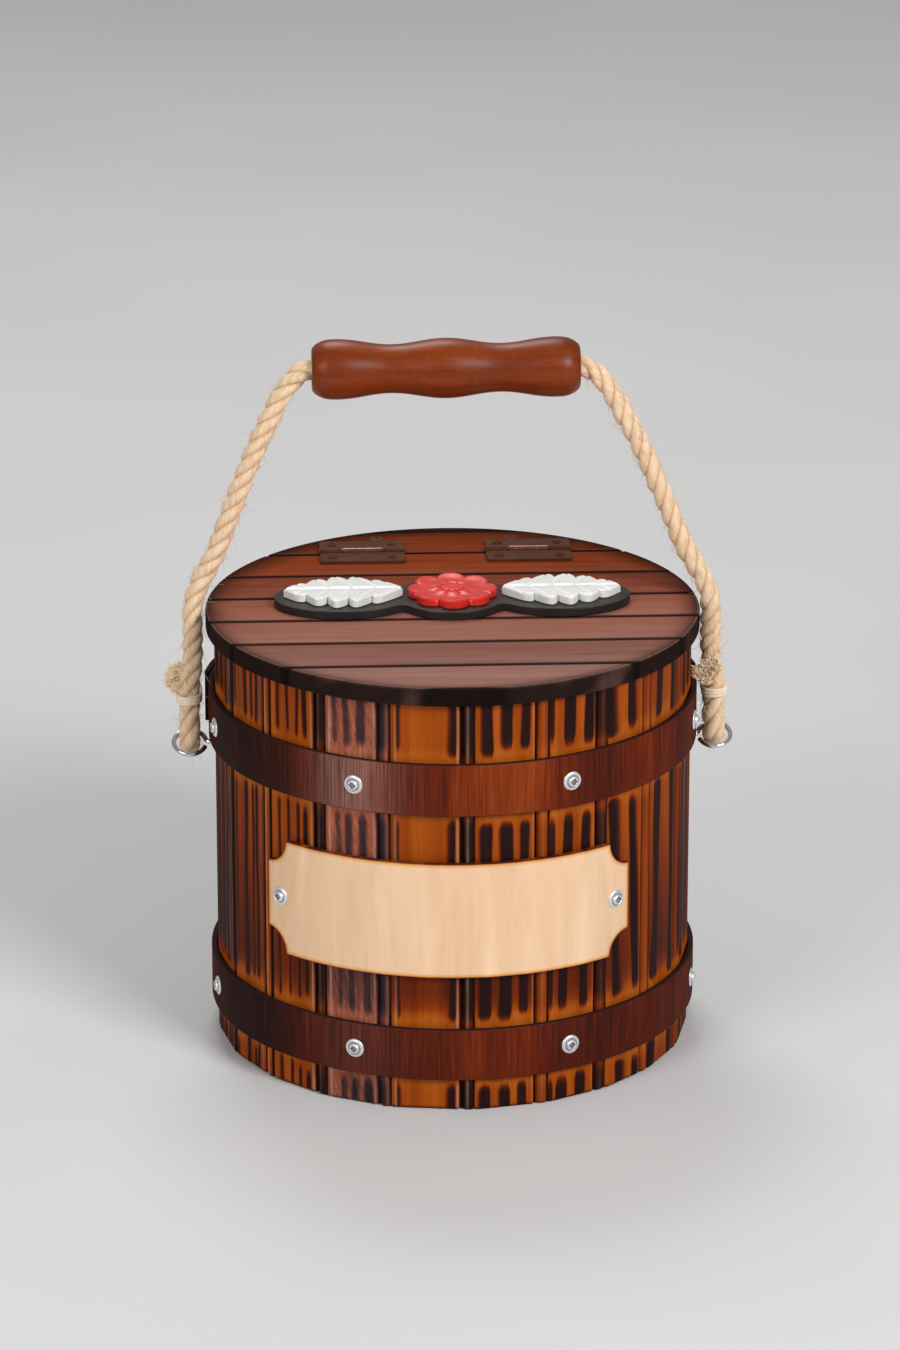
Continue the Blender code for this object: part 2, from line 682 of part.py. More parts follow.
def build_leaf(name, middle, side, knuckles, others, parent=None):
    """One leaf: a plate on the planks with its knuckles, cut back from the other leaf's.

    side is +1 for the leaf behind the pin and -1 for the one in front of it.
    knuckles and others are (centre, length) pairs along the pin.
    """
    bottom, top = LID_TOP + FIT_GAP, PIN_Z
    near, far = HINGE_Y, HINGE_Y + side * LEAF_WIDTH
    low = (middle - HINGE_LENGTH / 2, min(near, far), bottom)
    high = (middle + HINGE_LENGTH / 2, max(near, far), top)
    plate = box_mesh(name, low, high)
    work = bmesh.new()
    work.from_mesh(plate)
    corners = [
        e for e in work.edges
        if all(abs(v.co.y - far) < 1e-6 for v in e.verts)
        and abs(e.verts[0].co.x - e.verts[1].co.x) < 1e-6
    ]
    bmesh.ops.bevel(work, geom=corners, offset=LEAF_CORNER, segments=2, affect="EDGES", profile=0.5)
    work.to_mesh(plate)
    work.free()
    leaf = as_part(name, plate, BRONZED, parent, smooth=CREASE)
    for i, (centre, length) in enumerate(knuckles):
        bar = barrel_piece(f"{name}_knuckle_{i + 1}", BARREL_RADIUS, centre, length)
        combine(leaf, as_cutter(bar.name, bar), "UNION")
    for i, (centre, length) in enumerate(others):
        room = BARREL_RADIUS + LEAF_RELIEF
        slot = box_mesh(
            f"{name}_slot_{i + 1}",
            (centre - length / 2 - KNUCKLE_GAP, HINGE_Y - room, bottom - room),
            (centre + length / 2 + KNUCKLE_GAP, HINGE_Y + room, top + room))
        combine(leaf, as_cutter(slot.name, slot))
    bore = barrel_piece(f"{name}_bore", PIN_RADIUS + PIN_CLEARANCE, middle, 2 * HINGE_LENGTH)
    combine(leaf, as_cutter(bore.name, bore))


def build_hinges(lid):
    outer = (HINGE_LENGTH - MIDDLE_KNUCKLE) / 2 - KNUCKLE_GAP
    for side, label in ((-1, "left"), (1, "right")):
        middle = side * HINGE_X
        shift = (HINGE_LENGTH - outer) / 2
        ends = [(middle - shift, outer), (middle + shift, outer)]
        centre = [(middle, MIDDLE_KNUCKLE)]
        build_leaf(f"hinge_{label}_fixed_leaf", middle, 1, ends, centre)
        build_leaf(f"hinge_{label}_moving_leaf", middle, -1, centre, ends, lid)
        name = f"hinge_{label}_pin"
        as_part(name, barrel_piece(name, PIN_RADIUS, middle, HINGE_LENGTH), BRONZED,
                smooth=CREASE)


# Screw eyes, rope and grip


def eye_path(side):
    """Wire of a screw eye: shank, bend, and an open ring tilted about the shank."""
    offset = math.sqrt(EYE_RADIUS ** 2 + 2 * EYE_RADIUS * EYE_FILLET)
    start = EYE_CENTRE - offset
    plane = [(BODY_FLAT_RADIUS - EYE_DEPTH, 0), (start, 0)]
    join = math.atan2(EYE_FILLET, offset)
    for i in range(1, EYE_BEND_STEPS + 1):
        turn = (math.pi / 2 - join) * i / EYE_BEND_STEPS
        plane.append((start + EYE_FILLET * math.sin(turn), EYE_FILLET * (1 - math.cos(turn))))
    first, last = math.pi - join, -EYE_END
    for i in range(1, EYE_STEPS + 1):
        turn = first + (last - first) * i / EYE_STEPS
        plane.append((EYE_CENTRE + EYE_RADIUS * math.cos(turn), EYE_RADIUS * math.sin(turn)))
    return [
        Vector((side * u, v * math.cos(EYE_TILT), EYE_Z + v * math.sin(EYE_TILT))) for u, v in plane
    ]


def build_eyes(staves):
    for side, label in ((-1, "left"), (1, "right")):
        name = f"screw_eye_{label}"
        as_part(name, tube_mesh(name, eye_path(side), EYE_WIRE, EYE_RESOLUTION), ZINC,
                smooth=TUBE_CREASE)
        length = 2 * (EYE_DEPTH + HOLE_CLEARANCE)
        hole = cylinder_mesh(f"{name}_hole", EYE_WIRE + HOLE_CLEARANCE, length, SCREW_SIDES)
        aimed(hole, (side * BODY_FLAT_RADIUS, 0, EYE_Z), (side, 0, 0))
        combine(stave_at(staves, side * math.pi / 2), as_cutter(hole.name, hole))


def smooth_run(route, step):
    """Points about a step apart on a smooth curve through a route's own points."""
    ends = [route[0] * 2 - route[1], *route, route[-1] * 2 - route[-2]]
    run = [route[0]]
    for a, b, c, d in zip(ends, ends[1:], ends[2:], ends[3:]):
        count = max(1, round((c - b).length / step))
        for i in range(1, count + 1):
            t = i / count
            run.append(0.5 * (
                2 * b + (c - a) * t + (2 * a - 5 * b + 4 * c - d) * t * t
                + (3 * b - a - 3 * c + d) * t ** 3))
    return run


def strand_points(side):
    """One end of the rope from its bound tail, round the eye and up the leg to the grip.

    The left tail comes up behind the leg and the right one in front of it.
    """
    behind = -side
    x = side * EYE_CENTRE
    loop = [
        Vector((x, PIVOT_Y + behind * EYE_LOOP * math.cos(math.pi * i / LOOP_STEPS),
                PIVOT_Z - EYE_LOOP * math.sin(math.pi * i / LOOP_STEPS)))
        for i in range(LOOP_STEPS + 1)
    ]
    bound = [BAND_Z - BAND_HEIGHT, BAND_Z + BAND_HEIGHT]
    out, back, up = TAIL_OFFSETS[0 if side < 0 else 1]
    tail = smooth_run([
        Vector((x + side * out, PIVOT_Y + back, BAND_Z + up)),
        *(Vector((x, PIVOT_Y + behind * BOUND_SPREAD, z)) for z in reversed(bound)),
        loop[0],
    ], ROPE_STEP)
    leg = [loop[-1], *(Vector((x, PIVOT_Y - behind * BOUND_SPREAD, z)) for z in bound)]
    mouth = GRIP_LENGTH / 2 + GRIP_MOUTH
    for out, up, off in ROPE_LEG:
        lean = max((up - ROPE_LEAN_START) / (1 - ROPE_LEAN_START), 0)
        leg.append(Vector((
            side * (mouth + out * (EYE_CENTRE - mouth)) + GRIP_SHIFT * lean,
            PIVOT_Y - behind * off * BOUND_SPREAD,
            BAND_Z + up * (GRIP_Z - BAND_Z))))
    for past in (GRIP_MOUTH, -GRIP_MOUTH):
        leg.append(Vector((GRIP_SHIFT + side * (GRIP_LENGTH / 2 + past), PIVOT_Y, GRIP_Z)))
    return tail[:-1] + loop[:-1] + smooth_run(leg, ROPE_STEP)


def rope_points():
    left, right = strand_points(-1), strand_points(1)
    return left + right[::-1]


def report_rope(points):
    """Prints the rope's length and the least gap between its doubled strands."""
    places = [0.0]
    for a, b in zip(points, points[1:]):
        places.append(places[-1] + (b - a).length)
    apart = min(
        (a - b).length
        for i, a in enumerate(points) for j, b in enumerate(points)
        if places[j] - places[i] > 2 * math.pi * EYE_LOOP / 2
    )
    print(f"rope {places[-1]:.4f} m on {len(points)} points, gap {apart - 2 * ROPE_RADIUS:.5f} m")


def stadium(first, second, radius, steps=12):
    """The outline of a band round two equal circles."""
    along = (second - first).normalized()
    angle = math.atan2(along.y, along.x)
    points = []
    for centre, start in ((second, angle - math.pi / 2), (first, angle + math.pi / 2)):
        for i in range(steps + 1):
            turn = start + math.pi * i / steps
            points.append((centre.x + radius * math.cos(turn), centre.y + radius * math.sin(turn)))
    return points


def build_handle(handle):
    points = rope_points()
    report_rope(points)
    rope = tube_mesh("handle_rope", points, ROPE_RADIUS, ROPE_RESOLUTION)
    as_part("handle_rope", rope, ROPE_FIBRE, handle, smooth=TUBE_CREASE)
    for side, label in ((-1, "left"), (1, "right")):
        behind = -side
        leg = Vector((side * EYE_CENTRE, PIVOT_Y - behind * BOUND_SPREAD))
        tail = Vector((side * EYE_CENTRE, PIVOT_Y + behind * BOUND_SPREAD))
        inner = ROPE_RADIUS + BAND_CLEARANCE
        name = f"rope_binding_{label}"
        as_part(name, outline_mesh(
            name, [stadium(leg, tail, inner + BAND_THICKNESS), stadium(leg, tail, inner)],
            BAND_Z - BAND_HEIGHT / 2, BAND_HEIGHT), BAND_PLASTIC, handle, smooth=CREASE)


def grip_radius(along):
    """Radius of the turned grip: three bulges and two waists, with rounded ends."""
    half = GRIP_LENGTH / 2
    middle = (GRIP_BULGE + GRIP_WAIST) / 2
    swing = (GRIP_BULGE - GRIP_WAIST) / 2
    radius = middle + swing * math.cos(2 * math.pi * along / GRIP_PITCH)
    left = half - abs(along)
    if left < GRIP_ROUND:
        share = math.sqrt(max(1 - (1 - left / GRIP_ROUND) ** 2, 0))
        radius = GRIP_END + (radius - GRIP_END) * share
    return radius


def build_grip(grip):
    half = GRIP_LENGTH / 2
    inner = half - GRIP_ROUND
    ends = [
        half - GRIP_ROUND * (1 - math.cos(math.pi / 2 * i / GRIP_END_STEPS))
        for i in range(GRIP_END_STEPS + 1)
    ]
    body = [inner - 2 * inner * i / GRIP_STEPS for i in range(1, GRIP_STEPS)]
    heights = ends + body + [-h for h in reversed(ends)]
    outside = [(grip_radius(h), h) for h in heights]
    profile = outside + [(GRIP_BORE, -half), (GRIP_BORE, half)]
    mesh = turned_mesh("grip", profile, GRIP_SIDES, closed=True)
    aimed(mesh, (GRIP_SHIFT, PIVOT_Y, GRIP_Z), (1, 0, 0))
    as_part("grip", mesh, GRIP_WOOD, grip, smooth=CREASE)


# Ornament


def plaque_outline(steps=96):
    """A contour plate that follows the two leaves and the rosette a margin away.

    Its half width is a soft maximum of an ellipse round each leaf and a circle round the rosette.
    """
    leaf_middle = ROSETTE_RADIUS + ROSETTE_LEAF_GAP + LEAF_LENGTH / 2
    leaf_reach = LEAF_LENGTH / 2 + PLAQUE_MARGIN
    length = leaf_middle + leaf_reach
    points = []
    for i in range(steps):
        turn = 2 * math.pi * i / steps
        x = length * math.cos(turn)
        leaf = math.sqrt(max(1 - ((abs(x) - leaf_middle) / leaf_reach) ** 2, 0))
        leaf *= LEAF_HALF_WIDTH + PLAQUE_MARGIN
        disc = math.sqrt(max((ROSETTE_RADIUS + PLAQUE_MARGIN) ** 2 - x * x, 0))
        half = (leaf ** 4 + disc ** 4) ** 0.25
        points.append((x, PLAQUE_Y + math.copysign(half, math.sin(turn))))
    return points


def leaf_outline(side, steps=60):
    """A lobed leaf on a straight midrib, its stalk towards the middle of the plaque."""
    start = ROSETTE_RADIUS + ROSETTE_LEAF_GAP
    edges = {1: [], -1: []}
    for i in range(steps + 1):
        s = i / steps
        lobe = abs(math.sin(math.pi * LEAF_LOBES * s)) ** LEAF_FULLNESS
        width = math.sin(math.pi * s ** LEAF_LEAN) ** LEAF_FULLNESS
        half = max(LEAF_HALF_WIDTH * width * (1 - LEAF_NOTCH * (1 - lobe)), LEAF_TIP)
        sweep = LEAF_SWEEP * half * (1 - s)
        for up in (1, -1):
            edges[up].append((side * (start + LEAF_LENGTH * s + sweep), PLAQUE_Y + up * half))
    return edges[1] + edges[-1][::-1]


def rosette_outline(steps=96):
    points = []
    for i in range(steps):
        turn = 2 * math.pi * i / steps
        petal = abs(math.cos(ROSETTE_LOBES * turn / 2)) ** ROSETTE_FULLNESS
        radius = ROSETTE_RADIUS * (1 - ROSETTE_NOTCH * (1 - petal))
        points.append((radius * math.cos(turn), PLAQUE_Y + radius * math.sin(turn)))
    return points


def build_ornament(lid):
    as_part("plaque", outline_mesh(
        "plaque", [plaque_outline()], PLAQUE_BOTTOM, PLAQUE_THICKNESS), BLACK_ACRYLIC, lid)
    for side, label in ((-1, "left"), (1, "right")):
        name = f"plaque_leaf_{label}"
        as_part(name, outline_mesh(
            name, [leaf_outline(side)], RELIEF_BOTTOM, RELIEF_THICKNESS), WHITE_ACRYLIC, lid)
    as_part("plaque_rosette", outline_mesh(
        "plaque_rosette", [rosette_outline()], RELIEF_BOTTOM, RELIEF_THICKNESS), RED_ACRYLIC, lid)


def main():
    lid = pivot("lid_pivot", (0, HINGE_Y, PIN_Z))
    handle = pivot("handle_pivot", (0, PIVOT_Y, PIVOT_Z))
    grip = pivot("grip_pivot", (GRIP_SHIFT, PIVOT_Y, GRIP_Z), handle)
    staves = build_body()
    build_hoops()
    build_nameplate(staves)
    rear = build_lid(lid)
    add_rear_screws(rear, staves)
    build_hinges(lid)
    build_eyes(staves)
    build_handle(handle)
    build_grip(grip)
    build_ornament(lid)


main()
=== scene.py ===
"""Looks of a coopered wooden champagne bucket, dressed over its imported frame.

Units are metres, +Z is up, -Y is the front with the nameplate and X runs along the handle.
Angles round the bucket are measured from the front towards +X.
"""

import json
import logging
import math
from dataclasses import dataclass, field
from enum import Enum
from typing import Sequence

import bmesh
import bpy
import numpy as np
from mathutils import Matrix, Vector


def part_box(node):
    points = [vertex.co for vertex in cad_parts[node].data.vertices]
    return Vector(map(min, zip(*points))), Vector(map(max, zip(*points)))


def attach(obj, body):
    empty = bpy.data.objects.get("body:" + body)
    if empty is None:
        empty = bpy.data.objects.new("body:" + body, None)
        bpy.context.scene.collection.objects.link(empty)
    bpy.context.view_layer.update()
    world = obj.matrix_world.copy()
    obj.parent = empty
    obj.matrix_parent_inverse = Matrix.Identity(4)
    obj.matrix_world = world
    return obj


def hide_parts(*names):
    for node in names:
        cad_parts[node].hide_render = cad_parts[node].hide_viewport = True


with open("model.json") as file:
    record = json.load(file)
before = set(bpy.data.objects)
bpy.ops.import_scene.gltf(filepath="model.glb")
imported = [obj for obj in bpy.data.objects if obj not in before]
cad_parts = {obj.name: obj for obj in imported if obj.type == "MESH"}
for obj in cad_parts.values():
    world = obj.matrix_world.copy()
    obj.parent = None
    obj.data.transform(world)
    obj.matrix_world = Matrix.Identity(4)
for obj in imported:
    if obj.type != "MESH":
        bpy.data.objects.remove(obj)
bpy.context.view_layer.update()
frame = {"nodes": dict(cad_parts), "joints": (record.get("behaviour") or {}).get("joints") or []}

LOG = logging.getLogger("champagne_bucket")
Array = np.ndarray
Draw = np.random.Generator
Material = bpy.types.Material
Socket = bpy.types.NodeSocket
Triple = tuple[float, float, float]
Stops = tuple[tuple[float, str], ...]
MM = 0.001
TURN = 2 * math.pi
UP = np.array([0, 0, 1.0])
# Points closer than this are merged
WELD = 2e-6
# Sizes that several sub-assemblies share
SEAT_RADIUS = 0.12086
HOOP_HEIGHT = 0.027
TOP_HOOP_Z = 0.158
BOTTOM_HOOP_Z = 0.0178
EYE_REACH = 0.1334
GRIP_LENGTH = 0.134
JOINTS = {joint["name"]: joint for joint in frame["joints"]}
HINGE_LINE = np.array(JOINTS["lid_open"]["pos_m"])
EYE_PIVOT = np.array(JOINTS["handle_swing"]["pos_m"])
GRIP_MIDDLE = np.array(JOINTS["grip_spin"]["pos_m"])


class Body(Enum):
    """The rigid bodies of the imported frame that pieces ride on."""

    BUCKET = "bucket"
    LID = "lid"
    HANDLE = "handle"
    GRIP = "grip"


class Side(Enum):
    """The two sides of the bucket, as the sign of X."""

    LEFT = -1
    RIGHT = 1

    @property
    def word(self) -> str:
        """The side's name as the frame's nodes write it."""
        return self.name.lower()


# Surfaces


@dataclass
class Surface:
    """A patch of mesh with what its material reads at each point.

    Attributes:
        points: One row of x, y and z for each point.
        faces: Arrays of point numbers, one array for each count of corners.
        uv: Metres across and along the grain at each point.
        marks: Named numbers at each point.
    """

    points: Array
    faces: list[Array]
    uv: Array
    marks: dict[str, Array] = field(default_factory=dict)


def grid(points: Array, uv: Array | None = None, caps: bool = False,
         marks: dict[str, Array] | None = None) -> Surface:
    """Joins a grid of points with four-sided faces.

    Args:
        points: Rows by columns by 3.
        uv: Rows by columns by 2, or none where the material reads Object coordinates.
        caps: Whether the first and the last row are closed rings that get a face each.
        marks: Named numbers, spread to the rows and columns.

    Returns:
        The patch; a closed column or row repeats its first points and is welded later.
    """
    rows, columns = points.shape[:2]
    index = np.arange(rows * columns).reshape(rows, columns)
    quads = np.stack([index[:-1, :-1], index[:-1, 1:], index[1:, 1:], index[1:, :-1]], axis=-1)
    faces = [quads.reshape(-1, 4)]
    if caps:
        faces += [index[:1, ::-1], index[-1:]]
    flat = np.zeros((rows * columns, 2)) if uv is None else uv.reshape(-1, 2)
    spread = {name: np.broadcast_to(values, index.shape).reshape(-1)
              for name, values in (marks or {}).items()}
    return Surface(points.reshape(-1, 3), faces, flat, spread)


def joined(patches: Sequence[Surface]) -> Surface:
    """Puts several patches into one surface.

    Args:
        patches: Patches with the same marks.

    Returns:
        One surface with all their points and faces.
    """
    starts = np.cumsum([0] + [len(p.points) for p in patches[:-1]])
    return Surface(
        np.concatenate([p.points for p in patches]),
        [face + start for p, start in zip(patches, starts) for face in p.faces],
        np.concatenate([p.uv for p in patches]),
        {name: np.concatenate([p.marks[name] for p in patches]) for name in patches[0].marks},
    )


def piece(name: str, surface: Surface, finish: Material, body: Body,
          replaces: Sequence[str] = (), crease: float = 35.0) -> bpy.types.Object:
    """Makes a named piece of the object from a surface and hangs it on its body.

    Args:
        name: The piece's name.
        surface: Its points and faces, already in place.
        finish: Its material.
        body: The frame's body that it moves with.
        replaces: Nodes of the frame that it stands for.
        crease: Edges sharper than this many degrees stay hard.

    Returns:
        The new object, at the origin.
    """
    mesh = bpy.data.meshes.new(name)
    corners = np.concatenate([face.reshape(-1) for face in surface.faces]).astype(np.int32)
    counts = np.concatenate([np.full(len(face), face.shape[1]) for face in surface.faces])
    mesh.vertices.add(len(surface.points))
    mesh.vertices.foreach_set("co", surface.points.astype(np.float32).reshape(-1))
    mesh.loops.add(len(corners))
    mesh.loops.foreach_set("vertex_index", corners)
    mesh.polygons.add(len(counts))
    mesh.polygons.foreach_set("loop_start", (np.cumsum(counts) - counts).astype(np.int32))
    mesh.update(calc_edges=True)
    mesh.uv_layers.new(name="grain").uv.foreach_set(
        "vector", surface.uv[corners].astype(np.float32).reshape(-1))
    for mark, values in surface.marks.items():
        mesh.attributes.new(mark, "FLOAT", "POINT").data.foreach_set(
            "value", values.astype(np.float32))
    work = bmesh.new()
    work.from_mesh(mesh)
    bmesh.ops.remove_doubles(work, verts=work.verts, dist=WELD)
    bmesh.ops.recalc_face_normals(work, faces=work.faces)
    work.to_mesh(mesh)
    work.free()
    mesh.materials.append(finish)
    mesh.shade_smooth()
    mesh.set_sharp_from_angle(angle=math.radians(crease))
    item = bpy.data.objects.new(name, mesh)
    bpy.context.scene.collection.objects.link(item)
    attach(item, body.value)
    if replaces:
        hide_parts(*replaces)
    LOG.info("%s: %d faces on %s", name, len(mesh.polygons), body.value)
    return item


def ease(x: Array | float) -> Array:
    """A smooth step: 0 below 0, 1 above 1, and 3x² - 2x³ between."""
    x = np.clip(x, 0, 1)
    return x * x * (3 - 2 * x)


def bell(x: Array) -> Array:
    """A bell curve of height 1: e to the power of -x²."""
    return np.exp(-x ** 2)


def stacked(*parts: Array | float) -> Array:
    """Coordinates spread to the same rows and columns and put side by side."""
    return np.stack(np.broadcast_arrays(*parts), axis=-1)


def unit(vectors: Array) -> Array:
    """Each row as a direction of length 1."""
    return vectors / np.linalg.norm(vectors, axis=1, keepdims=True)


def around(angle: Array, first: Array, second: Array) -> Array:
    """Directions at an angle from a first one towards a second: cos a f + sin a s."""
    return np.cos(angle) * first + np.sin(angle) * second


def run_of(path: Array) -> Array:
    """The length along a path up to each of its points."""
    return np.concatenate([[0], np.cumsum(np.linalg.norm(np.diff(path, axis=0), axis=1))])


def outward(angle: Array | float) -> Array:
    """The level direction away from the axis: (sin a, -cos a, 0)."""
    angle = np.asarray(angle, float)
    return np.stack([np.sin(angle), -np.cos(angle), np.zeros_like(angle)], axis=-1)


def turned(points: Array, angle: float) -> Array:
    """Turns points about Z by an angle."""
    c, s = math.cos(angle), math.sin(angle)
    return points @ np.array([[c, s, 0], [-s, c, 0], [0, 0, 1.0]])


def spun(profile: Array, steps: int, lobes: Array | float = 0.0,
         count: int = 0, dirt: Array | float = 0.0) -> Surface:
    """A profile of (radius, height) points turned about Z, with lobes where asked.

    The radius at an angle a is r (1 + lobe cos(count a)), with one lobe depth for each row.

    Args:
        profile: Radius and height of each row.
        steps: Columns all the way round.
        lobes: Depth of the lobes for each row.
        count: Number of lobes.
        dirt: How much painted shade each row gets, in its recess.

    Returns:
        A surface about the Z axis.
    """
    angle = np.linspace(0, TURN, steps + 1)
    wave = 1 + np.broadcast_to(lobes, len(profile))[:, None] * np.cos(count * angle)
    radius = profile[:, :1] * wave
    return grid(stacked(radius * np.cos(angle), radius * np.sin(angle), profile[:, 1:]),
                marks={"dirt": np.broadcast_to(dirt, len(profile))[:, None]})


def aimed(surface: Surface, place: Array, direction: Array) -> Surface:
    """Turns a surface so that its +Z points along a direction, and moves it to a place.

    Args:
        surface: A surface made about the origin.
        place: Where its origin goes.
        direction: Where its +Z goes.

    Returns:
        The same surface, moved.
    """
    turn = np.array(Vector(direction).to_track_quat("Z", "Y").to_matrix())
    surface.points = surface.points @ turn.T + place
    return surface


def plate(loops: Sequence[Array], heights: Sequence[float],
          wear: Sequence[float] | None = None) -> Surface:
    """A flat plate with shaped edges: closed outlines one above the other, capped at both ends.

    Args:
        loops: Outlines of equal count, from the bottom up, each a row of x and y per point.
        heights: The height of each outline.
        wear: Strength of the painted highlight on each outline, where the material reads that.

    Returns:
        The closed surface.
    """
    rows = [np.column_stack([loop, np.full(len(loop), z)]) for loop, z in zip(loops, heights)]
    points = np.stack([np.vstack([row, row[:1]]) for row in rows])
    marks = None if wear is None else {"wear": np.array(wear)[:, None]}
    return grid(points, caps=True, marks=marks)


def inset(outline: Array, distance: float) -> Array:
    """Moves a closed outline inwards along its own normals.

    Args:
        outline: Anticlockwise x and y points.
        distance: How far each point moves.

    Returns:
        The smaller outline, point for point.
    """
    along = unit(np.roll(outline, -1, axis=0) - np.roll(outline, 1, axis=0))
    return outline + distance * np.column_stack([-along[:, 1], along[:, 0]])


def walled(top: Surface, bottom: Surface, columns: int) -> Surface:
    """Joins two grids of one outline by a wall round their rims.

    Args:
        top: One grid.
        bottom: The other, point for point.
        columns: Points in a row of each.

    Returns:
        The closed surface.
    """
    index = np.arange(len(top.points)).reshape(-1, columns)
    ring = np.concatenate([index[0], index[1:, -1], index[-1, -2::-1], index[-2:0:-1, 0]])
    after = np.roll(ring, -1)
    body = joined([top, bottom])
    body.faces.append(np.stack([ring, after, after + index.size, ring + index.size], axis=-1))
    return body


def rounded_edge(radius: float, steps: int = 4) -> list[tuple[float, float]]:
    """Inset and drop of the points of a quarter-round edge, from the side up to the top."""
    turns = np.linspace(0, math.pi / 2, steps + 1)
    return [(radius * (1 - math.cos(t)), radius * (1 - math.sin(t))) for t in turns]


def tube(path: Array, radius: Array | float, sides: int, reference: Array) -> Surface:
    """A round bar carried along a path: p + r (cos a n + sin a b), with its ends capped.

    Args:
        path: The points of its middle line.
        radius: One radius, or one for each point.
        sides: Facets round it.
        reference: A direction, or one for each point, never along the path.

    Returns:
        The closed bar.
    """
    along = unit(np.gradient(path, axis=0))
    normal = unit(np.cross(along, np.broadcast_to(reference, path.shape)))
    binormal = np.cross(along, normal)
    angle = np.linspace(0, TURN, sides + 1)[:, None]
    reach = np.broadcast_to(radius, len(path))[:, None, None]
    return grid(path[:, None] + reach * around(angle, normal[:, None], binormal[:, None]),
                caps=True)


def smooth_route(route: Array, step: float) -> Array:
    """Points about a step apart on the Catmull-Rom curve through a route.

    Args:
        route: The points that the curve passes through.
        step: The wanted distance between points.

    Returns:
        The finer points, the route's own among them.
    """
    ends = np.vstack([2 * route[0] - route[1], route, 2 * route[-1] - route[-2]])
    spans = []
    for a, b, c, d in zip(ends, ends[1:], ends[2:], ends[3:]):
        count = max(1, round(float(np.linalg.norm(c - b)) / step))
        t = (np.arange(count) / count)[:, None]
        spans.append(0.5 * (2 * b + (c - a) * t + (2 * a - 5 * b + 4 * c - d) * t ** 2
                            + (3 * b - a - 3 * c + d) * t ** 3))
    return np.vstack([*spans, route[-1:]])


# Finishes


def linear(colour: str) -> tuple[float, float, float, float]:
    """Turns an sRGB hex colour into linear red, green, blue and alpha."""
    parts = [int(colour[i:i + 2], 16) / 255 for i in (1, 3, 5)]
    return (*(c / 12.92 if c <= 0.04045 else ((c + 0.055) / 1.055) ** 2.4 for c in parts), 1.0)


class Node(Enum):
    """The nodes in use: Blender's name, the inputs that are given, the output and settings."""

    UV = ("UVMap", (), "UV", {"uv_map": "grain"})
    PLACE = ("TexCoord", (), "Object", {})
    MARK = ("Attribute", (), "Fac", {})
    SCALED = ("Mapping", ("Vector", "Scale"), "Vector", {})
    NOISE = ("TexNoise", ("Vector", "Scale", "Detail", "Distortion"), "Fac", {})
    CHANCE = ("TexWhiteNoise", ("W",), "Value", {"noise_dimensions": "1D"})
    RAMP = ("ValToRGB", ("Fac",), "Color", {})
    MIX = ("Mix", (0, 6, 7), 2, {"data_type": "RGBA"})
    DARKEN = ("Mix", (0, 6, 7), 2, {"data_type": "RGBA", "blend_type": "MULTIPLY"})
    SUM = ("Math", (0, 1, 2), 0, {"operation": "MULTIPLY_ADD", "use_clamp": True})
    OPEN_SUM = ("Math", (0, 1, 2), 0, {"operation": "MULTIPLY_ADD"})
    FLOOR = ("Math", (0,), 0, {"operation": "FLOOR"})
    POWER = ("Math", (0, 1), 0, {"operation": "POWER"})
    ZIGZAG = ("Math", (0, 1), 0, {"operation": "PINGPONG"})
    ALONG = ("VectorMath", (0, 1), "Value", {"operation": "DOT_PRODUCT"})
    TIMES = ("VectorMath", (0, 1), "Vector", {"operation": "MULTIPLY"})
    LENGTH = ("VectorMath", (0,), "Value", {"operation": "LENGTH"})
    BUMP = ("Bump", ("Height", "Distance", "Strength"), "Normal", {})


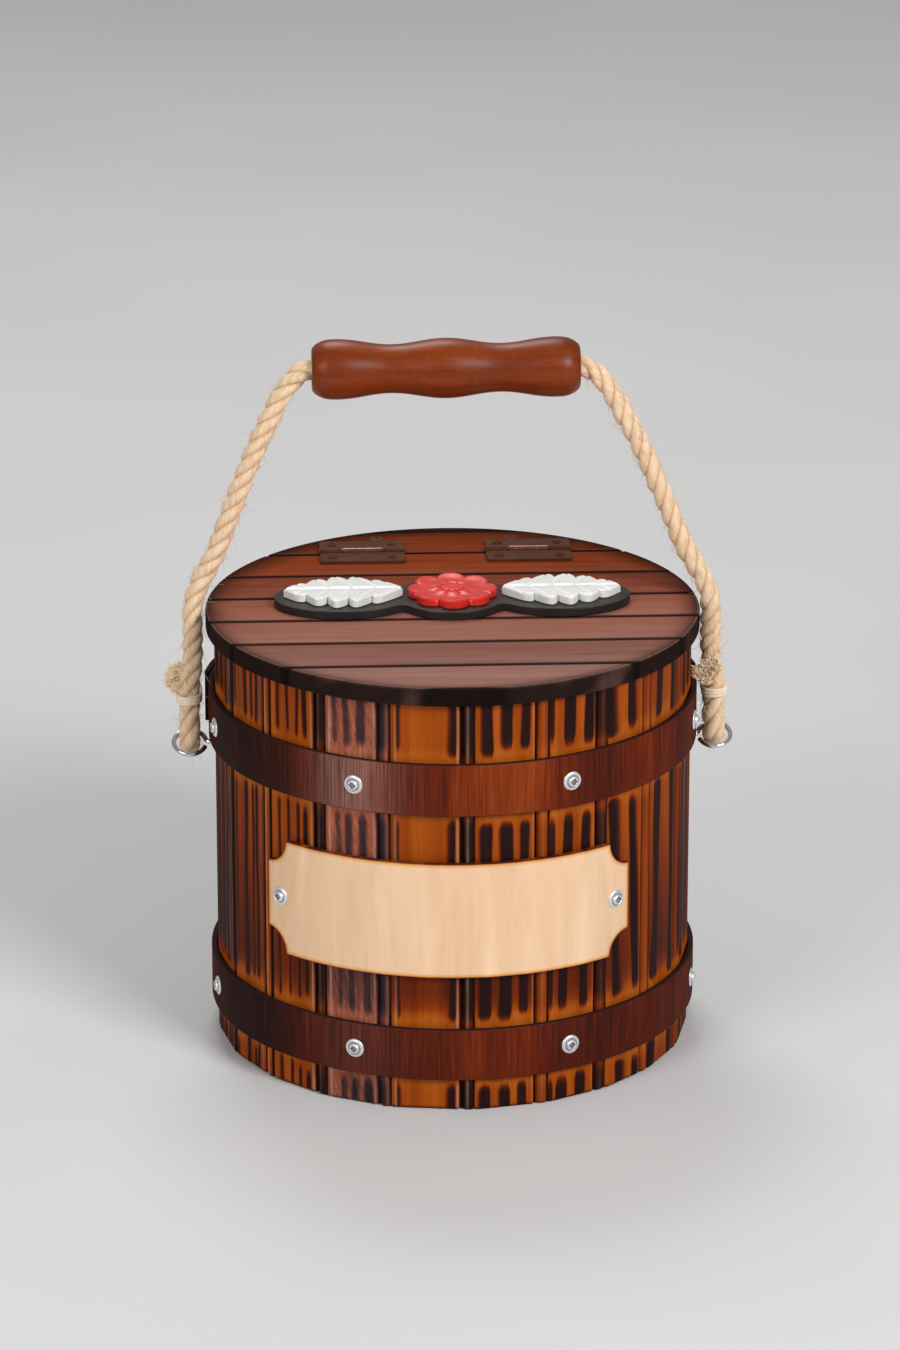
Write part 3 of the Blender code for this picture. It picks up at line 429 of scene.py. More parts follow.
class Shade:
    """A material's node tree round one principled shader."""

    def __init__(self, name: str, **sockets: float) -> None:
        """Starts a material.

        Args:
            name: The material's name.
            sockets: Constant values of the shader, with _ for spaces.
        """
        self.material = bpy.data.materials.new(name)
        self.material.use_nodes = True
        self.tree = self.material.node_tree
        self.shader = self.tree.nodes["Principled BSDF"]
        for key, value in sockets.items():
            self.shader.inputs[key.replace("_", " ")].default_value = value

    def add(self, node: Node, *values: object, stops: Stops = (), **settings: object) -> Socket:
        """Adds a node with its settings and links.

        Args:
            node: Which node, with its usual settings.
            values: What its inputs get: a socket is linked, and a hex colour is made linear.
            stops: Places and hex colours, for a ramp.
            settings: Further properties of the node.

        Returns:
            Its output.
        """
        kind, inputs, output, usual = node.value
        made = self.tree.nodes.new(f"ShaderNode{kind}")
        for key, value in (usual | settings).items():
            setattr(made, key, value)
        for key, value in zip(inputs, values):
            if isinstance(value, Socket):
                self.tree.links.new(value, made.inputs[key])
            else:
                made.inputs[key].default_value = linear(value) if isinstance(value, str) else value
        for i, (place, colour) in enumerate(stops):
            ramp = made.color_ramp.elements
            stop = ramp[i] if i < 2 else ramp.new(place)
            stop.position, stop.color = place, linear(colour)
        return made.outputs[output]

    def grain(self, coordinates: Socket, size_mm: Sequence[float],
              detail: float = 3.0, twist: float = 0.0) -> Socket:
        """Noise stretched to a real size along each axis.

        Args:
            coordinates: Where the pattern is, in metres.
            size_mm: Size of one blotch along each axis.
            detail: Octaves of finer noise.
            twist: How much the pattern wanders.

        Returns:
            A value from 0 to 1.
        """
        scaled = self.add(Node.SCALED, coordinates, [1 / (size * MM) for size in size_mm])
        return self.add(Node.NOISE, scaled, 1.0, detail, twist)

    def finish(self, colour: Socket, roughness: Socket, relief: Socket | None = None,
               depth_mm: float = 0.0, strength: float = 0.0) -> Material:
        """Gives the shader its colour, its roughness and a relief of a real depth.

        Args:
            colour: Its colour.
            roughness: Its roughness.
            relief: The pattern that raises the surface, if any.
            depth_mm: The depth between the pattern's lowest and highest point.
            strength: How much of it shows.

        Returns:
            The finished material.
        """
        links = {"Base Color": colour, "Roughness": roughness}
        if relief:
            links["Normal"] = self.add(Node.BUMP, relief, depth_mm * MM, strength)
        for name, socket in links.items():
            self.tree.links.new(socket, self.shader.inputs[name])
        return self.material


@dataclass(frozen=True)
class ScorchedPine:
    """Pine scorched in stripes by a torch and lacquered: amber, brown and near-black."""

    name: str = "scorched_pine"
    stops: Stops = (
        (0.0, "#CE8440"), (0.12, "#B6611A"), (0.26, "#A04A0A"), (0.42, "#7C2F08"),
        (0.60, "#4E1C0A"), (0.80, "#301410"), (1.0, "#22110F"))
    # Colour of the painted highlights on edges and beads
    rubbed: str = "#D0A684"
    fibre_mm: Triple = (0.35, 26.0, 1.0)
    ring_mm: Triple = (3.4, 150.0, 1.0)
    gloss: float = 0.24
    coat: float = 0.14
    relief_mm: float = 0.05

    def material(self) -> Material:
        """Builds the material: char sets the colour, and fibres vary colour, gloss and relief.

        Returns:
            The material.
        """
        shade = Shade(self.name, Specular_IOR_Level=0.0, Coat_Weight=self.coat,
                      Coat_Roughness=self.gloss)
        add = shade.add
        uv = add(Node.UV)
        char = add(Node.MARK, attribute_name="char")
        wear = add(Node.MARK, attribute_name="wear")
        fibre = shade.grain(uv, self.fibre_mm)
        ring = shade.grain(uv, self.ring_mm, 2.0, 0.6)
        toast = add(Node.SUM, fibre, 0.14, add(Node.SUM, char, 1.0, -0.145))
        toast = add(Node.SUM, ring, 0.20, toast)
        wood = add(Node.RAMP, toast, stops=self.stops)
        streak = add(Node.RAMP, fibre, stops=((0.34, "#B4A08E"), (0.62, "#FFFFFF")))
        toasted = add(Node.DARKEN, 0.40, wood, streak)
        # Painted highlights along the edges and the beads
        colour = add(Node.MIX, wear, toasted, self.rubbed)
        return shade.finish(colour, add(Node.SUM, fibre, 0.22, 0.5), fibre, self.relief_mm, 0.35)


@dataclass(frozen=True)
class StainedPly:
    """Thin bent plywood in a dark red-brown stain: fine upright grain under a satin coat."""

    name: str = "stained_plywood"
    stops: Stops = (
        (0.30, "#200E0A"), (0.41, "#3C150C"), (0.51, "#531B0A"), (0.62, "#6C2408"),
        (0.80, "#943F12"))
    edge_dark: str = "#30201E"
    # Grey-pink colour of a painted sheen beside the front-left screws
    bloom: str = "#9A6A60"
    pore_mm: Triple = (0.7, 34.0, 1.0)
    flame_mm: Triple = (14.0, 160.0, 1.0)
    edge_mm: float = 0.7

    def material(self) -> Material:
        """Builds the material from pores that run up the hoop, slow changes of stain with painted
        light and shade, and a painted sheen.

        Returns:
            The material.
        """
        shade = Shade(self.name, Specular_IOR_Level=0.0, Coat_Weight=0.12, Coat_Roughness=0.35)
        add = shade.add
        uv = add(Node.UV)
        pore = shade.grain(uv, self.pore_mm, 4.0)
        flame = shade.grain(uv, self.flame_mm, 2.0, 0.4)
        edge = add(Node.MARK, attribute_name="edge")
        # Stain with painted light and shade round the hoop
        stain = add(Node.MARK, attribute_name="stain")
        value = add(Node.SUM, pore, 0.58, add(Node.SUM, flame, 0.26, -0.03))
        value = add(Node.SUM, stain, 0.26, value)
        red = add(Node.RAMP, value, stops=self.stops)
        # Painted sheen, broken by the pores
        bloom = add(Node.MARK, attribute_name="bloom")
        dull = add(Node.SUM, bloom, add(Node.SUM, pore, 1.8, -0.35), 0.0)
        wood = add(Node.MIX, dull, red, self.bloom)
        near = add(Node.SUM, edge, -1 / (self.edge_mm * MM), 1.0)
        colour = add(Node.MIX, near, wood, self.edge_dark)
        return shade.finish(colour, add(Node.SUM, pore, 0.25, 0.24), pore, 0.08, 0.40)


@dataclass(frozen=True)
class BirchPly:
    """Sanded birch plywood cut by laser: pale, with faint upright figure and toasted edges."""

    name: str = "birch_plywood"
    stops: Stops = (
        (0.28, "#D9AF8A"), (0.48, "#E2BA94"), (0.66, "#EAC6A1"), (0.82, "#F4D6B4"))
    burn: Stops = (
        (0.0, "#4A2A18"), (0.06, "#A9681F"), (0.20, "#EDB35C"), (0.50, "#FADFAC"),
        (1.0, "#FFFFFF"))
    figure_mm: Triple = (13.0, 90.0, 1.0)
    pore_mm: Triple = (0.6, 18.0, 1.0)
    burn_width_mm: float = 2.2

    def material(self) -> Material:
        """Builds the material; the edge mark is the distance in metres from the cut outline.

        Returns:
            The material.
        """
        shade = Shade(self.name)
        add = shade.add
        uv = add(Node.UV)
        edge = add(Node.MARK, attribute_name="edge")
        figure = shade.grain(uv, self.figure_mm, 3.0, 0.8)
        pore = shade.grain(uv, self.pore_mm, 3.0)
        value = add(Node.SUM, pore, 0.12, add(Node.SUM, figure, 0.75, 0.10))
        pale = add(Node.RAMP, value, stops=self.stops)
        near = add(Node.SUM, edge, 1 / (self.burn_width_mm * MM), add(Node.SUM, figure, 0.3, -0.15))
        colour = add(Node.DARKEN, 1.0, pale, add(Node.RAMP, near, stops=self.burn))
        return shade.finish(colour, add(Node.SUM, pore, 0.20, 0.42), pore, 0.05, 0.25)


@dataclass(frozen=True)
class LidPine:
    """Planed pine boards in a brown stain, smoked round the rim, with painted shadow in every
    groove and painted sheen.
    """

    radius: float
    hinge_y: float
    pitch: float
    name: str = "stained_pine"
    stops: Stops = (
        (0.22, "#5A200B"), (0.42, "#763014"), (0.58, "#883D1B"), (0.78, "#A05028"))
    # Paler, greyer colours of a painted sheen that rises towards the front
    faded: Stops = (
        (0.22, "#785048"), (0.42, "#90665B"), (0.58, "#A07569"), (0.78, "#B4897B"))
    smoke: str = "#120A09"
    # Colour of the painted highlights along the boards' rounded edges
    rubbed: str = "#A88A82"
    fibre_mm: Triple = (38.0, 0.6, 5.0)
    figure_mm: Triple = (150.0, 6.0, 9.0)
    rim_mm: float = 18.0
    # Width of the painted shadow along each groove, and the width that it fades over
    groove_mm: float = 2.7
    groove_fade_mm: float = 1.3

    def material(self) -> Material:
        """Builds the material on Object coordinates, so that the smoke follows the round rim.

        Returns:
            The material.
        """
        shade = Shade(self.name, Specular_IOR_Level=0.0, Coat_Weight=0.08, Coat_Roughness=0.4)
        add = shade.add
        place = add(Node.PLACE)
        y = add(Node.ALONG, place, (0, 1, 0))
        fibre = shade.grain(place, self.fibre_mm, 4.0)
        figure = shade.grain(place, self.figure_mm, 3.0, 0.5)
        count = add(Node.OPEN_SUM, y, -1 / self.pitch, self.hinge_y / self.pitch)
        tone = add(Node.CHANCE, add(Node.FLOOR, count))
        value = add(Node.SUM, fibre, 0.40, add(Node.SUM, figure, 0.34, 0.04))
        value = add(Node.SUM, tone, 0.16, value)
        fresh = add(Node.RAMP, value, stops=self.stops)
        # Painted sheen: the colour turns paler and greyer from the back towards the front
        sheen_tone = add(Node.RAMP, value, stops=self.faded)
        front_sheen = add(Node.SUM, y, -1 / (1.3 * self.radius), 0.40)
        wood = add(Node.MIX, front_sheen, fresh, sheen_tone)
        reach = add(Node.LENGTH, add(Node.TIMES, place, (1, 1, 0)))
        rim = add(Node.SUM, reach, 1 / (self.rim_mm * MM), 1 - self.radius / (self.rim_mm * MM))
        cloud = shade.grain(place, (26.0, 26.0, 26.0), 2.0)
        # The rim's smoke narrows towards the front, by the same share
        narrow = add(Node.OPEN_SUM, front_sheen, 3.4, add(Node.SUM, cloud, -1.2, 1.6))
        smoke = add(Node.POWER, rim, narrow)
        # Painted shadow in the gaps between the boards
        from_groove = add(Node.ZIGZAG, count, 0.5)
        groove = add(Node.SUM, from_groove, -self.pitch / (self.groove_fade_mm * MM),
                     self.groove_mm / self.groove_fade_mm)
        clear = add(Node.SUM, cloud, 6.0, -3.3)
        smoke = add(Node.SUM, smoke, add(Node.SUM, clear, -0.16, 0.97), 0.0)
        smoked = add(Node.MIX, smoke, wood, self.smoke)
        # Painted highlights along the rounded edges, broken by the fibres
        wear = add(Node.MARK, attribute_name="wear")
        wear = add(Node.SUM, wear, add(Node.SUM, fibre, 1.6, -0.45), 0.0)
        rubbed = add(Node.MIX, wear, smoked, self.rubbed)
        colour = add(Node.MIX, add(Node.SUM, groove, 0.92, 0.0), rubbed, self.smoke)
        return shade.finish(colour, add(Node.SUM, fibre, 0.20, 0.34), fibre, 0.08, 0.30)


@dataclass(frozen=True)
class GrainedWood:
    """A plain wood with its grain along X, read on Object coordinates."""

    name: str
    stops: Stops
    fibre_mm: Triple
    figure_mm: Triple
    gloss: float
    specular: float = 0.3
    lathe_mm: float = 0.0

    def material(self) -> Material:
        """Builds the material from fibres, a slower figure and, where turned, the tool's rings.

        Returns:
            The material.
        """
        shade = Shade(self.name, Specular_IOR_Level=self.specular)
        add = shade.add
        place = add(Node.PLACE)
        fibre = shade.grain(place, self.fibre_mm, 4.0)
        figure = shade.grain(place, self.figure_mm, 3.0, 0.7)
        value = add(Node.SUM, fibre, 0.40, add(Node.SUM, figure, 0.70, -0.05))
        if self.lathe_mm:
            ring = shade.grain(place, (self.lathe_mm, 900.0, 900.0), 2.0)
            value = add(Node.SUM, ring, 0.16, add(Node.SUM, value, 1.0, -0.08))
        rough = add(Node.SUM, fibre, 0.16, self.gloss - 0.06)
        return shade.finish(add(Node.RAMP, value, stops=self.stops), rough, fibre, 0.06, 0.20)


@dataclass(frozen=True)
class SisalFibre:
    """Twisted sisal: dry straw-coloured fibres, with painted shade in the grooves between strands.
    """

    name: str = "sisal_rope"
    stops: Stops = (
        (0.22, "#C2976C"), (0.40, "#E2BF98"), (0.58, "#EFD2B0"), (0.78, "#F8E7D0"))
    shadow: str = "#C2986C"
    fibre_mm: Triple = (0.34, 9.0, 1.0)
    yarn_mm: Triple = (1.7, 30.0, 1.0)
    relief: float = 0.7

    def material(self) -> Material:
        """Builds the material from single fibres and the yarns that they lie in.

        Returns:
            The material.
        """
        shade = Shade(self.name, Sheen_Weight=0.25, Sheen_Roughness=0.5, Specular_IOR_Level=0.2)
        add = shade.add
        uv = add(Node.UV)
        fibre = shade.grain(uv, self.fibre_mm, 4.0)
        yarn = shade.grain(uv, self.yarn_mm, 2.0)
        value = add(Node.SUM, fibre, 0.70, add(Node.SUM, yarn, 0.55, -0.12))
        straw = add(Node.RAMP, value, stops=self.stops)
        # Painted shade in the grooves between strands, broken by the yarns
        groove = add(Node.MARK, attribute_name="groove")
        dark = add(Node.SUM, groove, add(Node.SUM, yarn, 1.2, 0.0), 0.0)
        colour = add(Node.DARKEN, dark, straw, self.shadow)
        return shade.finish(colour, add(Node.SUM, fibre, 0.2, 0.75), value if self.relief else None,
                            0.35, self.relief)


@dataclass(frozen=True)
class Solid:
    """A metal or plastic with a fine uneven surface that breaks up its gloss and colour."""

    name: str
    dark: str
    light: str
    rough: float
    metallic: float = 0.0
    speckle_mm: float = 0.8
    spread: float = 0.18
    specular: float = 0.5
    # Colour of the painted shade in recesses
    dirt: str = "#343538"

    def material(self) -> Material:
        """Builds the material from one fine noise.

        Returns:
            The material.
        """
        shade = Shade(self.name, Metallic=self.metallic, Specular_IOR_Level=self.specular)
        add = shade.add
        place = add(Node.PLACE)
        speckle = shade.grain(place, (self.speckle_mm,) * 3, 3.0)
        cloud = shade.grain(place, (self.speckle_mm * 14,) * 3, 2.0)
        value = add(Node.SUM, speckle, 0.5, add(Node.SUM, cloud, 0.5, 0.0))
        clean = add(Node.RAMP, value, stops=((0.30, self.dark), (0.70, self.light)))
        # Painted shade in recesses: the marked rows turn dark grey
        dirt = add(Node.MARK, attribute_name="dirt")
        colour = add(Node.MIX, dirt, clean, self.dirt)
        rough = add(Node.SUM, value, self.spread, self.rough - self.spread / 2)
        return shade.finish(colour, rough, speckle, 0.02, 0.15)


# Pieces


@dataclass(frozen=True)
class Stripe:
    """One scorched stripe down a stave.

    Attributes:
        centre_mm: Middle of its dark core, from the stave's middle towards +X seen from outside.
        width_mm: Width of the dark core.
        depth: How dark it gets.
        lean_mm: How far it drifts towards +X from the top of the stave to its foot.
        left_mm: Width of the toasted edge on its left.
        right_mm: Width of the toasted edge on its right.
        taper: Share of the width that is gone at the foot.
    """

    centre_mm: float
    width_mm: float
    depth: float = 0.95
    lean_mm: float = 0.0
    left_mm: float = 1.0
    right_mm: float = 1.0
    taper: float = 0.0

    def char(self, across: Array, height: Array, strength: Array, draw: Draw) -> Array:
        """Scorch of the stripe: 1 in its core, easing off over each toasted edge.

        Args:
            across: Places across the stave.
            height: Share of the stave's height, as a column.
            strength: How far the torch was on at each height, as a column.
            draw: Source of the random wander.

        Returns:
            A value from 0 to its depth.
        """
        a, b, c = draw.uniform(0, TURN, 3)
        wander = 0.35 * np.sin(9 * height + a) + 0.2 * np.sin(23 * height + b)
        middle = (self.centre_mm + self.lean_mm * (0.5 - height) + wander) * MM
        swell = (1 + 0.12 * np.sin(14 * height + c)) * (0.72 + 0.28 * strength)
        half = self.width_mm * MM / 2 * (1 - self.taper * (1 - height)) * swell
        soft = 1.7 * np.where(across < middle, self.left_mm, self.right_mm) * MM
        past = np.abs(across - middle) - half
        return self.depth * strength ** 0.8 * (1 - np.clip(past / soft + 0.1, 0, 1)) ** 1.7


@dataclass
class Cooperage:
    """The staves: bevel, flat face, narrow groove and round bead, scorched after hooping."""

    count: int = 21
    height: float = 0.2154
    flat_radius: float = 0.1197
    thickness: float = 0.014
    joint: float = 0.00015
    arris_width: float = 0.0030
    arris_depth: float = 0.0018
    bead_width: float = 0.0055
    bead_drop: float = 0.0018
    quirk_width: float = 0.0022
    quirk_depth: float = 0.0022
    foot_round: float = 0.0022
    rows: int = 150
    ring_widths: tuple[float, float] = (0.0031, 0.0013)
    ring_bend: float = 0.17
    relief_depth: float = 0.00003
    rough_depth: float = 0.00012
    rough_grit: float = 0.00009
    # Fade at the left edge, clear strip at the right edge and the fade beside that strip
    relief_clear: Triple = (0.004, 0.008, 0.002)
    # Shift of the grain from stave to stave, and its way on round the back to the left edge
    grain_step: float = 0.21
    round_back: Triple = (0.014, 0.045, 0.060)
    rough_stave: int = 20
    # Lowest and highest reach of the torch below, between and above the hoops
    zones: tuple[tuple[float, float], ...] = (
        (-0.05, BOTTOM_HOOP_Z), (BOTTOM_HOOP_Z + HOOP_HEIGHT, TOP_HOOP_Z),
        (TOP_HOOP_Z + HOOP_HEIGHT, 0.26))
    # Ranges that the torch starts late or stops early by, and that it fades over
    torch_late: tuple[float, float] = (-0.0005, 0.0030)
    torch_fade: tuple[float, float] = (0.0040, 0.0110)
    # Scorch of the ground: bare, what the torch adds all over, painted shade at the bucket's sides
    # and low between the hoops, and how much slow waves change it
    ground: float = 0.16
    toast: float = 0.08
    side_toast: float = 0.20
    low_shade: float = 0.28
    drift: float = 0.04
    drift_width: float = 0.021
    foot_char: float = 0.55
    foot_height: float = 0.0040
    gouge: float = 0.038
    rough_low: float = 0.14
    end_ring: float = 0.0006
    end_char: float = 0.24
    end_grain: float = 9.0
    back_char: float = 0.1
    seed: int = 21
    # Stripes and bead tones read from the front staves; the others are drawn at random
    front: dict[int, tuple[Stripe, ...]] = field(default_factory=lambda: {
        21: (Stripe(-16.9, 1.4, 0.75, 0, 0.4, 2.2), Stripe(10.4, 2.8, 0.88, 0, 3.0, 0.5)),
        1: (Stripe(-13.0, 5.2, 0.95, -1.4, 2.4, 0.7), Stripe(-2.5, 5.2, 0.95, -1.4, 2.6, 0.7),
            Stripe(6.6, 4.0, 0.9, -1.0, 1.4, 0.8)),
        2: (Stripe(-15.2, 2.0, 0.8, 0, 1.2, 0.8), Stripe(-7.2, 5.4, 0.95, -4.5, 0.8, 1.0),
            Stripe(4.0, 4.6, 0.95, -4.0, 0.8, 1.6)),
        3: (Stripe(-11.0, 4.2, 0.98, 8.0, 0.7, 5.6), Stripe(3.4, 4.4, 0.95, 6.0, 0.7, 3.0)),
        4: (Stripe(-11.0, 6.0, 0.92, -4.0, 1.0, 2.4), Stripe(7.4, 5.4, 0.85, 0, 1.6, 1.6)),
        5: (Stripe(-10.0, 7.0, 0.9, 0, 2.0, 3.0), Stripe(4.0, 6.0, 0.9, 0, 3.0, 2.0)),
        20: (Stripe(-9.6, 2.0, 0.66, 4.0, 1.6, 2.0), Stripe(-3.9, 2.6, 0.74, 4.0, 1.8, 2.2),
             Stripe(4.4, 3.4, 0.80, 4.4, 2.0, 2.2)),
        19: (Stripe(-11.3, 1.2, 0.72, 0, 1.8, 1.2), Stripe(-5.1, 1.0, 0.80, 1.0, 1.0, 1.4),
             Stripe(1.4, 1.2, 0.80, 0.8, 1.4, 1.2), Stripe(6.2, 2.0, 0.88, 0.6, 1.8, 0.9)),
        18: (Stripe(-14.4, 1.6, 0.8, 0, 0.6, 1.6), Stripe(-4.4, 2.4, 0.86, 0, 1.6, 1.6),
             Stripe(2.2, 1.4, 0.76, 0, 1.6, 1.6), Stripe(6.2, 1.8, 0.86, 0, 1.4, 1.0)),
        17: (Stripe(-12.0, 6.0, 0.85, 0, 2.0, 3.0), Stripe(-2.0, 5.0, 0.85, 0, 3.0, 3.0),
             Stripe(8.0, 4.0, 0.95, 0, 2.0, 1.0)),
    })
    beads: dict[int, float] = field(default_factory=lambda: {
        17: 0.85, 18: 0.30, 19: 0.92, 20: 0.93, 21: 0.97, 1: 0.34, 2: 0.75, 3: 0.35, 4: 0.45})
    # Tone of a bead's right half, where it isn't the bead's own
    bead_rights: dict[int, float] = field(default_factory=lambda: {20: 0.50})
    # Strength of the painted highlight on a stave's left edge, right edge and bead
    rubs: dict[int, Triple] = field(default_factory=lambda: {
        17: (0.15, 0.25, 0.45), 18: (0.10, 0.15, 0.50), 19: (0.05, 0.45, 0.10),
        20: (0.45, 0.30, 0.0), 21: (0.24, 0.50, 0.24), 1: (0.0, 0.25, 0.10),
        2: (0.0, 0.12, 0.05), 3: (0.0, 0.14, 0.06), 4: (0.0, 0.12, 0.06), 5: (0.0, 0.12, 0.06)})
    # Degrees that the joint on a stave's right is off the equal division
    joint_shift: dict[int, float] = field(default_factory=lambda: {
        20: -0.4, 21: 2.4, 1: 3.4, 2: 2.4, 3: 0.8})

    def edges(self, number: int) -> tuple[float, float]:
        """Angles of the joints on the left and the right of a stave.

        Args:
            number: The stave's number.

        Returns:
            Left and right angle.
        """
        left, right = (
            math.radians(k * 360 / self.count + self.joint_shift.get(k or self.count, 0.0))
            for k in (number - 1, number))
        return left, right

    def section(self, half: float) -> tuple[Array, Array]:
        """Works out the outside of a stave's section.

        The depth is the bevel's curve at the left, a V in the quirk, and b (1 - sqrt(1 - u²))
        over the bead at the right.

        Args:
            half: Half the stave's width.

        Returns:
            Places across the stave and the depth of each below the flat face.
        """
        bead_left = half - self.bead_width
        quirk = bead_left - self.quirk_width / 2
        across = np.concatenate([
            np.linspace(-half, -half + self.arris_width, 9),
            np.linspace(-half + self.arris_width, quirk - self.quirk_width / 2, 54)[1:],
            np.linspace(quirk - self.quirk_width / 2, bead_left, 7)[1:],
            half - self.bead_width / 2 * (1 + np.cos(np.linspace(0, math.pi, 15)[1:])),
        ])
        bevel = np.clip(1 - (across + half) / self.arris_width, 0, 1) ** 1.7 * self.arris_depth
        valley = np.clip(1 - np.abs(across - quirk) / (self.quirk_width / 2), 0, 1) ** 0.9
        crown = np.clip((across - half) / (self.bead_width / 2) + 1, -1, 1)
        bead = np.where(across >= bead_left, self.bead_drop * (1 - np.sqrt(1 - crown ** 2)), 0)
        ramp = np.clip((across - quirk) / (self.quirk_width / 2), 0, 1)
        drop = np.where(across < bead_left, ramp * self.bead_drop, bead)
        return across, np.maximum(bevel, np.maximum(valley * self.quirk_depth, drop))

    def stripes(self, number: int, draw: Draw) -> tuple[Stripe, ...]:
        """The stripes of one stave: those listed for it, or two to four drawn at random.

        Args:
            number: The stave's number.
            draw: Source of the random stripes, used for every stave.

        Returns:
            The stripes.
        """
        count = int(draw.integers(2, 5))
        centres = np.linspace(-12.5, 8.0, count) + draw.uniform(-1.2, 1.2, count)
        widths = draw.uniform(2.6, 6.4, count) * (3 / count) ** 0.5
        drawn = tuple(map(Stripe, centres, widths, draw.uniform(0.85, 1.0, count),
                          draw.uniform(-2.0, 2.0, count), draw.uniform(0.8, 3.0, count),
                          draw.uniform(0.8, 3.0, count)))
        return self.front.get(number, drawn)

    def torch(self, height: Array, draw: Draw) -> Array:
        """How far the torch was on: full between hoops, easing off just beside them.

        Args:
            height: Heights, as a column.
            draw: Source of the random limits.

        Returns:
            A value from 0 to 1 at each height.
        """
        starts, stops = draw.uniform(*self.torch_late, (2, len(self.zones)))
        fade = draw.uniform(*self.torch_fade)
        low, high = np.array(self.zones).T
        return (ease((height - low - starts) / fade) * ease((high - stops - height) / fade)).max(
            axis=1, keepdims=True)

    def char(self, number: int, across: Array, height: Array, draw: Draw) -> Array:
        """How scorched a stave is: stripes, a toasted ground with painted shade, and black grooves.

        Args:
            number: The stave's number.
            across: Places across it.
            height: Heights, as a column.
            draw: Source of the random changes.

        Returns:
            A value from 0, brightest, to 1, black; heights by places.
        """
        half = across.max()
        quirk = half - self.bead_width - self.quirk_width / 2
        share = height / self.height
        slow = np.sin(TURN * (across / self.drift_width + draw.random()) + 3 * share)
        low, high = self.zones[1]
        sunk = ease((high - height) / (high - low)) * ease((height - low) / 0.02)
        aside = abs(math.sin((number - 0.5) * TURN / self.count)) ** 9
        # Painted shade darkens the staves at the bucket's sides and low between the hoops
        toast = self.toast + self.side_toast * aside + self.low_shade * sunk
        total = self.ground + toast * self.torch(height, draw) + self.drift * slow
        stripes = self.stripes(number, draw)
        lit = [stripe.char(across, share, self.torch(height, draw), draw) for stripe in stripes]
        total = np.maximum(total, np.max(lit, axis=0))
        if number == self.rough_stave:
            gouge = draw.normal(0, self.gouge, np.broadcast_shapes(height.shape, across.shape))
            total = total + sum(np.roll(gouge, (k, -k), axis=(0, 1)) for k in range(4))
            total = total + self.rough_low * (1 - ease(height / 0.10))
        bead = self.beads.get(number, float(draw.choice([0.25, 0.5, 0.8])))
        on_bead = ease((across - quirk) / (0.5 * MM))
        to_right = ease((across - half + self.bead_width / 2) / (1.2 * MM))
        tone = bead + (self.bead_rights.get(number, bead) - bead) * to_right
        total = total * (1 - on_bead) + on_bead * tone * (0.55 + 0.45 * self.torch(height, draw))
        groove = 1 - ease((np.abs(across - quirk) - 0.35 * MM) / (0.45 * MM))
        joint = 1 - ease((half - np.abs(across) - 0.25 * MM) / (0.8 * MM))
        foot = self.foot_char * (1 - ease(height / self.foot_height))
        total = np.maximum(total, foot)
        return np.maximum(total, np.maximum(draw.uniform(0.6, 0.97) * groove, 0.95 * joint))

    def wear(self, number: int, across: Array, height: Array, draw: Draw) -> Array:
        """Painted highlights on a stave: bell curves on its two edges and its bead, uneven with
        height.

        Args:
            number: The stave's number.
            across: Places across it.
            height: Heights, as a column.
            draw: Source of the random changes.

        Returns:
            A value from 0 to 1; heights by places.
        """
        half = across.max()
        right = half - self.bead_width - self.quirk_width
        drawn = draw.uniform(0.0, 0.25, 3)
        lines = ((self.arris_width - half, 0.45), (right - 0.2 * MM, 0.38),
                 (half - self.bead_width * 0.55, 0.5))
        total = 0.0
        for (middle, wide), depth in zip(lines, self.rubs.get(number, drawn)):
            uneven = 1 + 0.25 * np.sin(height / draw.uniform(0.004, 0.009) + draw.uniform(0, 6.28))
            total = total + depth * uneven * bell((across - middle) / (wide * MM))
        return np.clip(total, 0, 1)

    def relief(self, across: Array, height: Array, rough: bool, draw: Draw) -> Array:
        """The grain's relief: two waves across the stave that bend along it, grit where rough.

        It fades out beside the bead and the left edge.

        Args:
            across: Places across the stave.
            height: Heights, as a column.
            rough: Whether it is the brushed stave.
            draw: Source of the random changes.

        Returns:
            How far the face is raised; heights by places.
        """
        phase = draw.uniform(0, TURN, 3)
        bend = 0.5 * np.sin(TURN * height / self.ring_bend + phase[0])
        wide, fine = (TURN * across / width for width in self.ring_widths)
        rings = np.sin(wide + bend + phase[1]) + 0.6 * np.sin(fine + 1.4 * bend + phase[2])
        relief = (self.rough_depth if rough else self.relief_depth) * (rings - 1.6)
        if rough:
            relief = relief + draw.normal(0, self.rough_grit, relief.shape) - self.rough_depth
        left, clear, right = self.relief_clear
        return (relief * ease((across.max() - clear - across) / right)
                * ease((across - across.min()) / left))

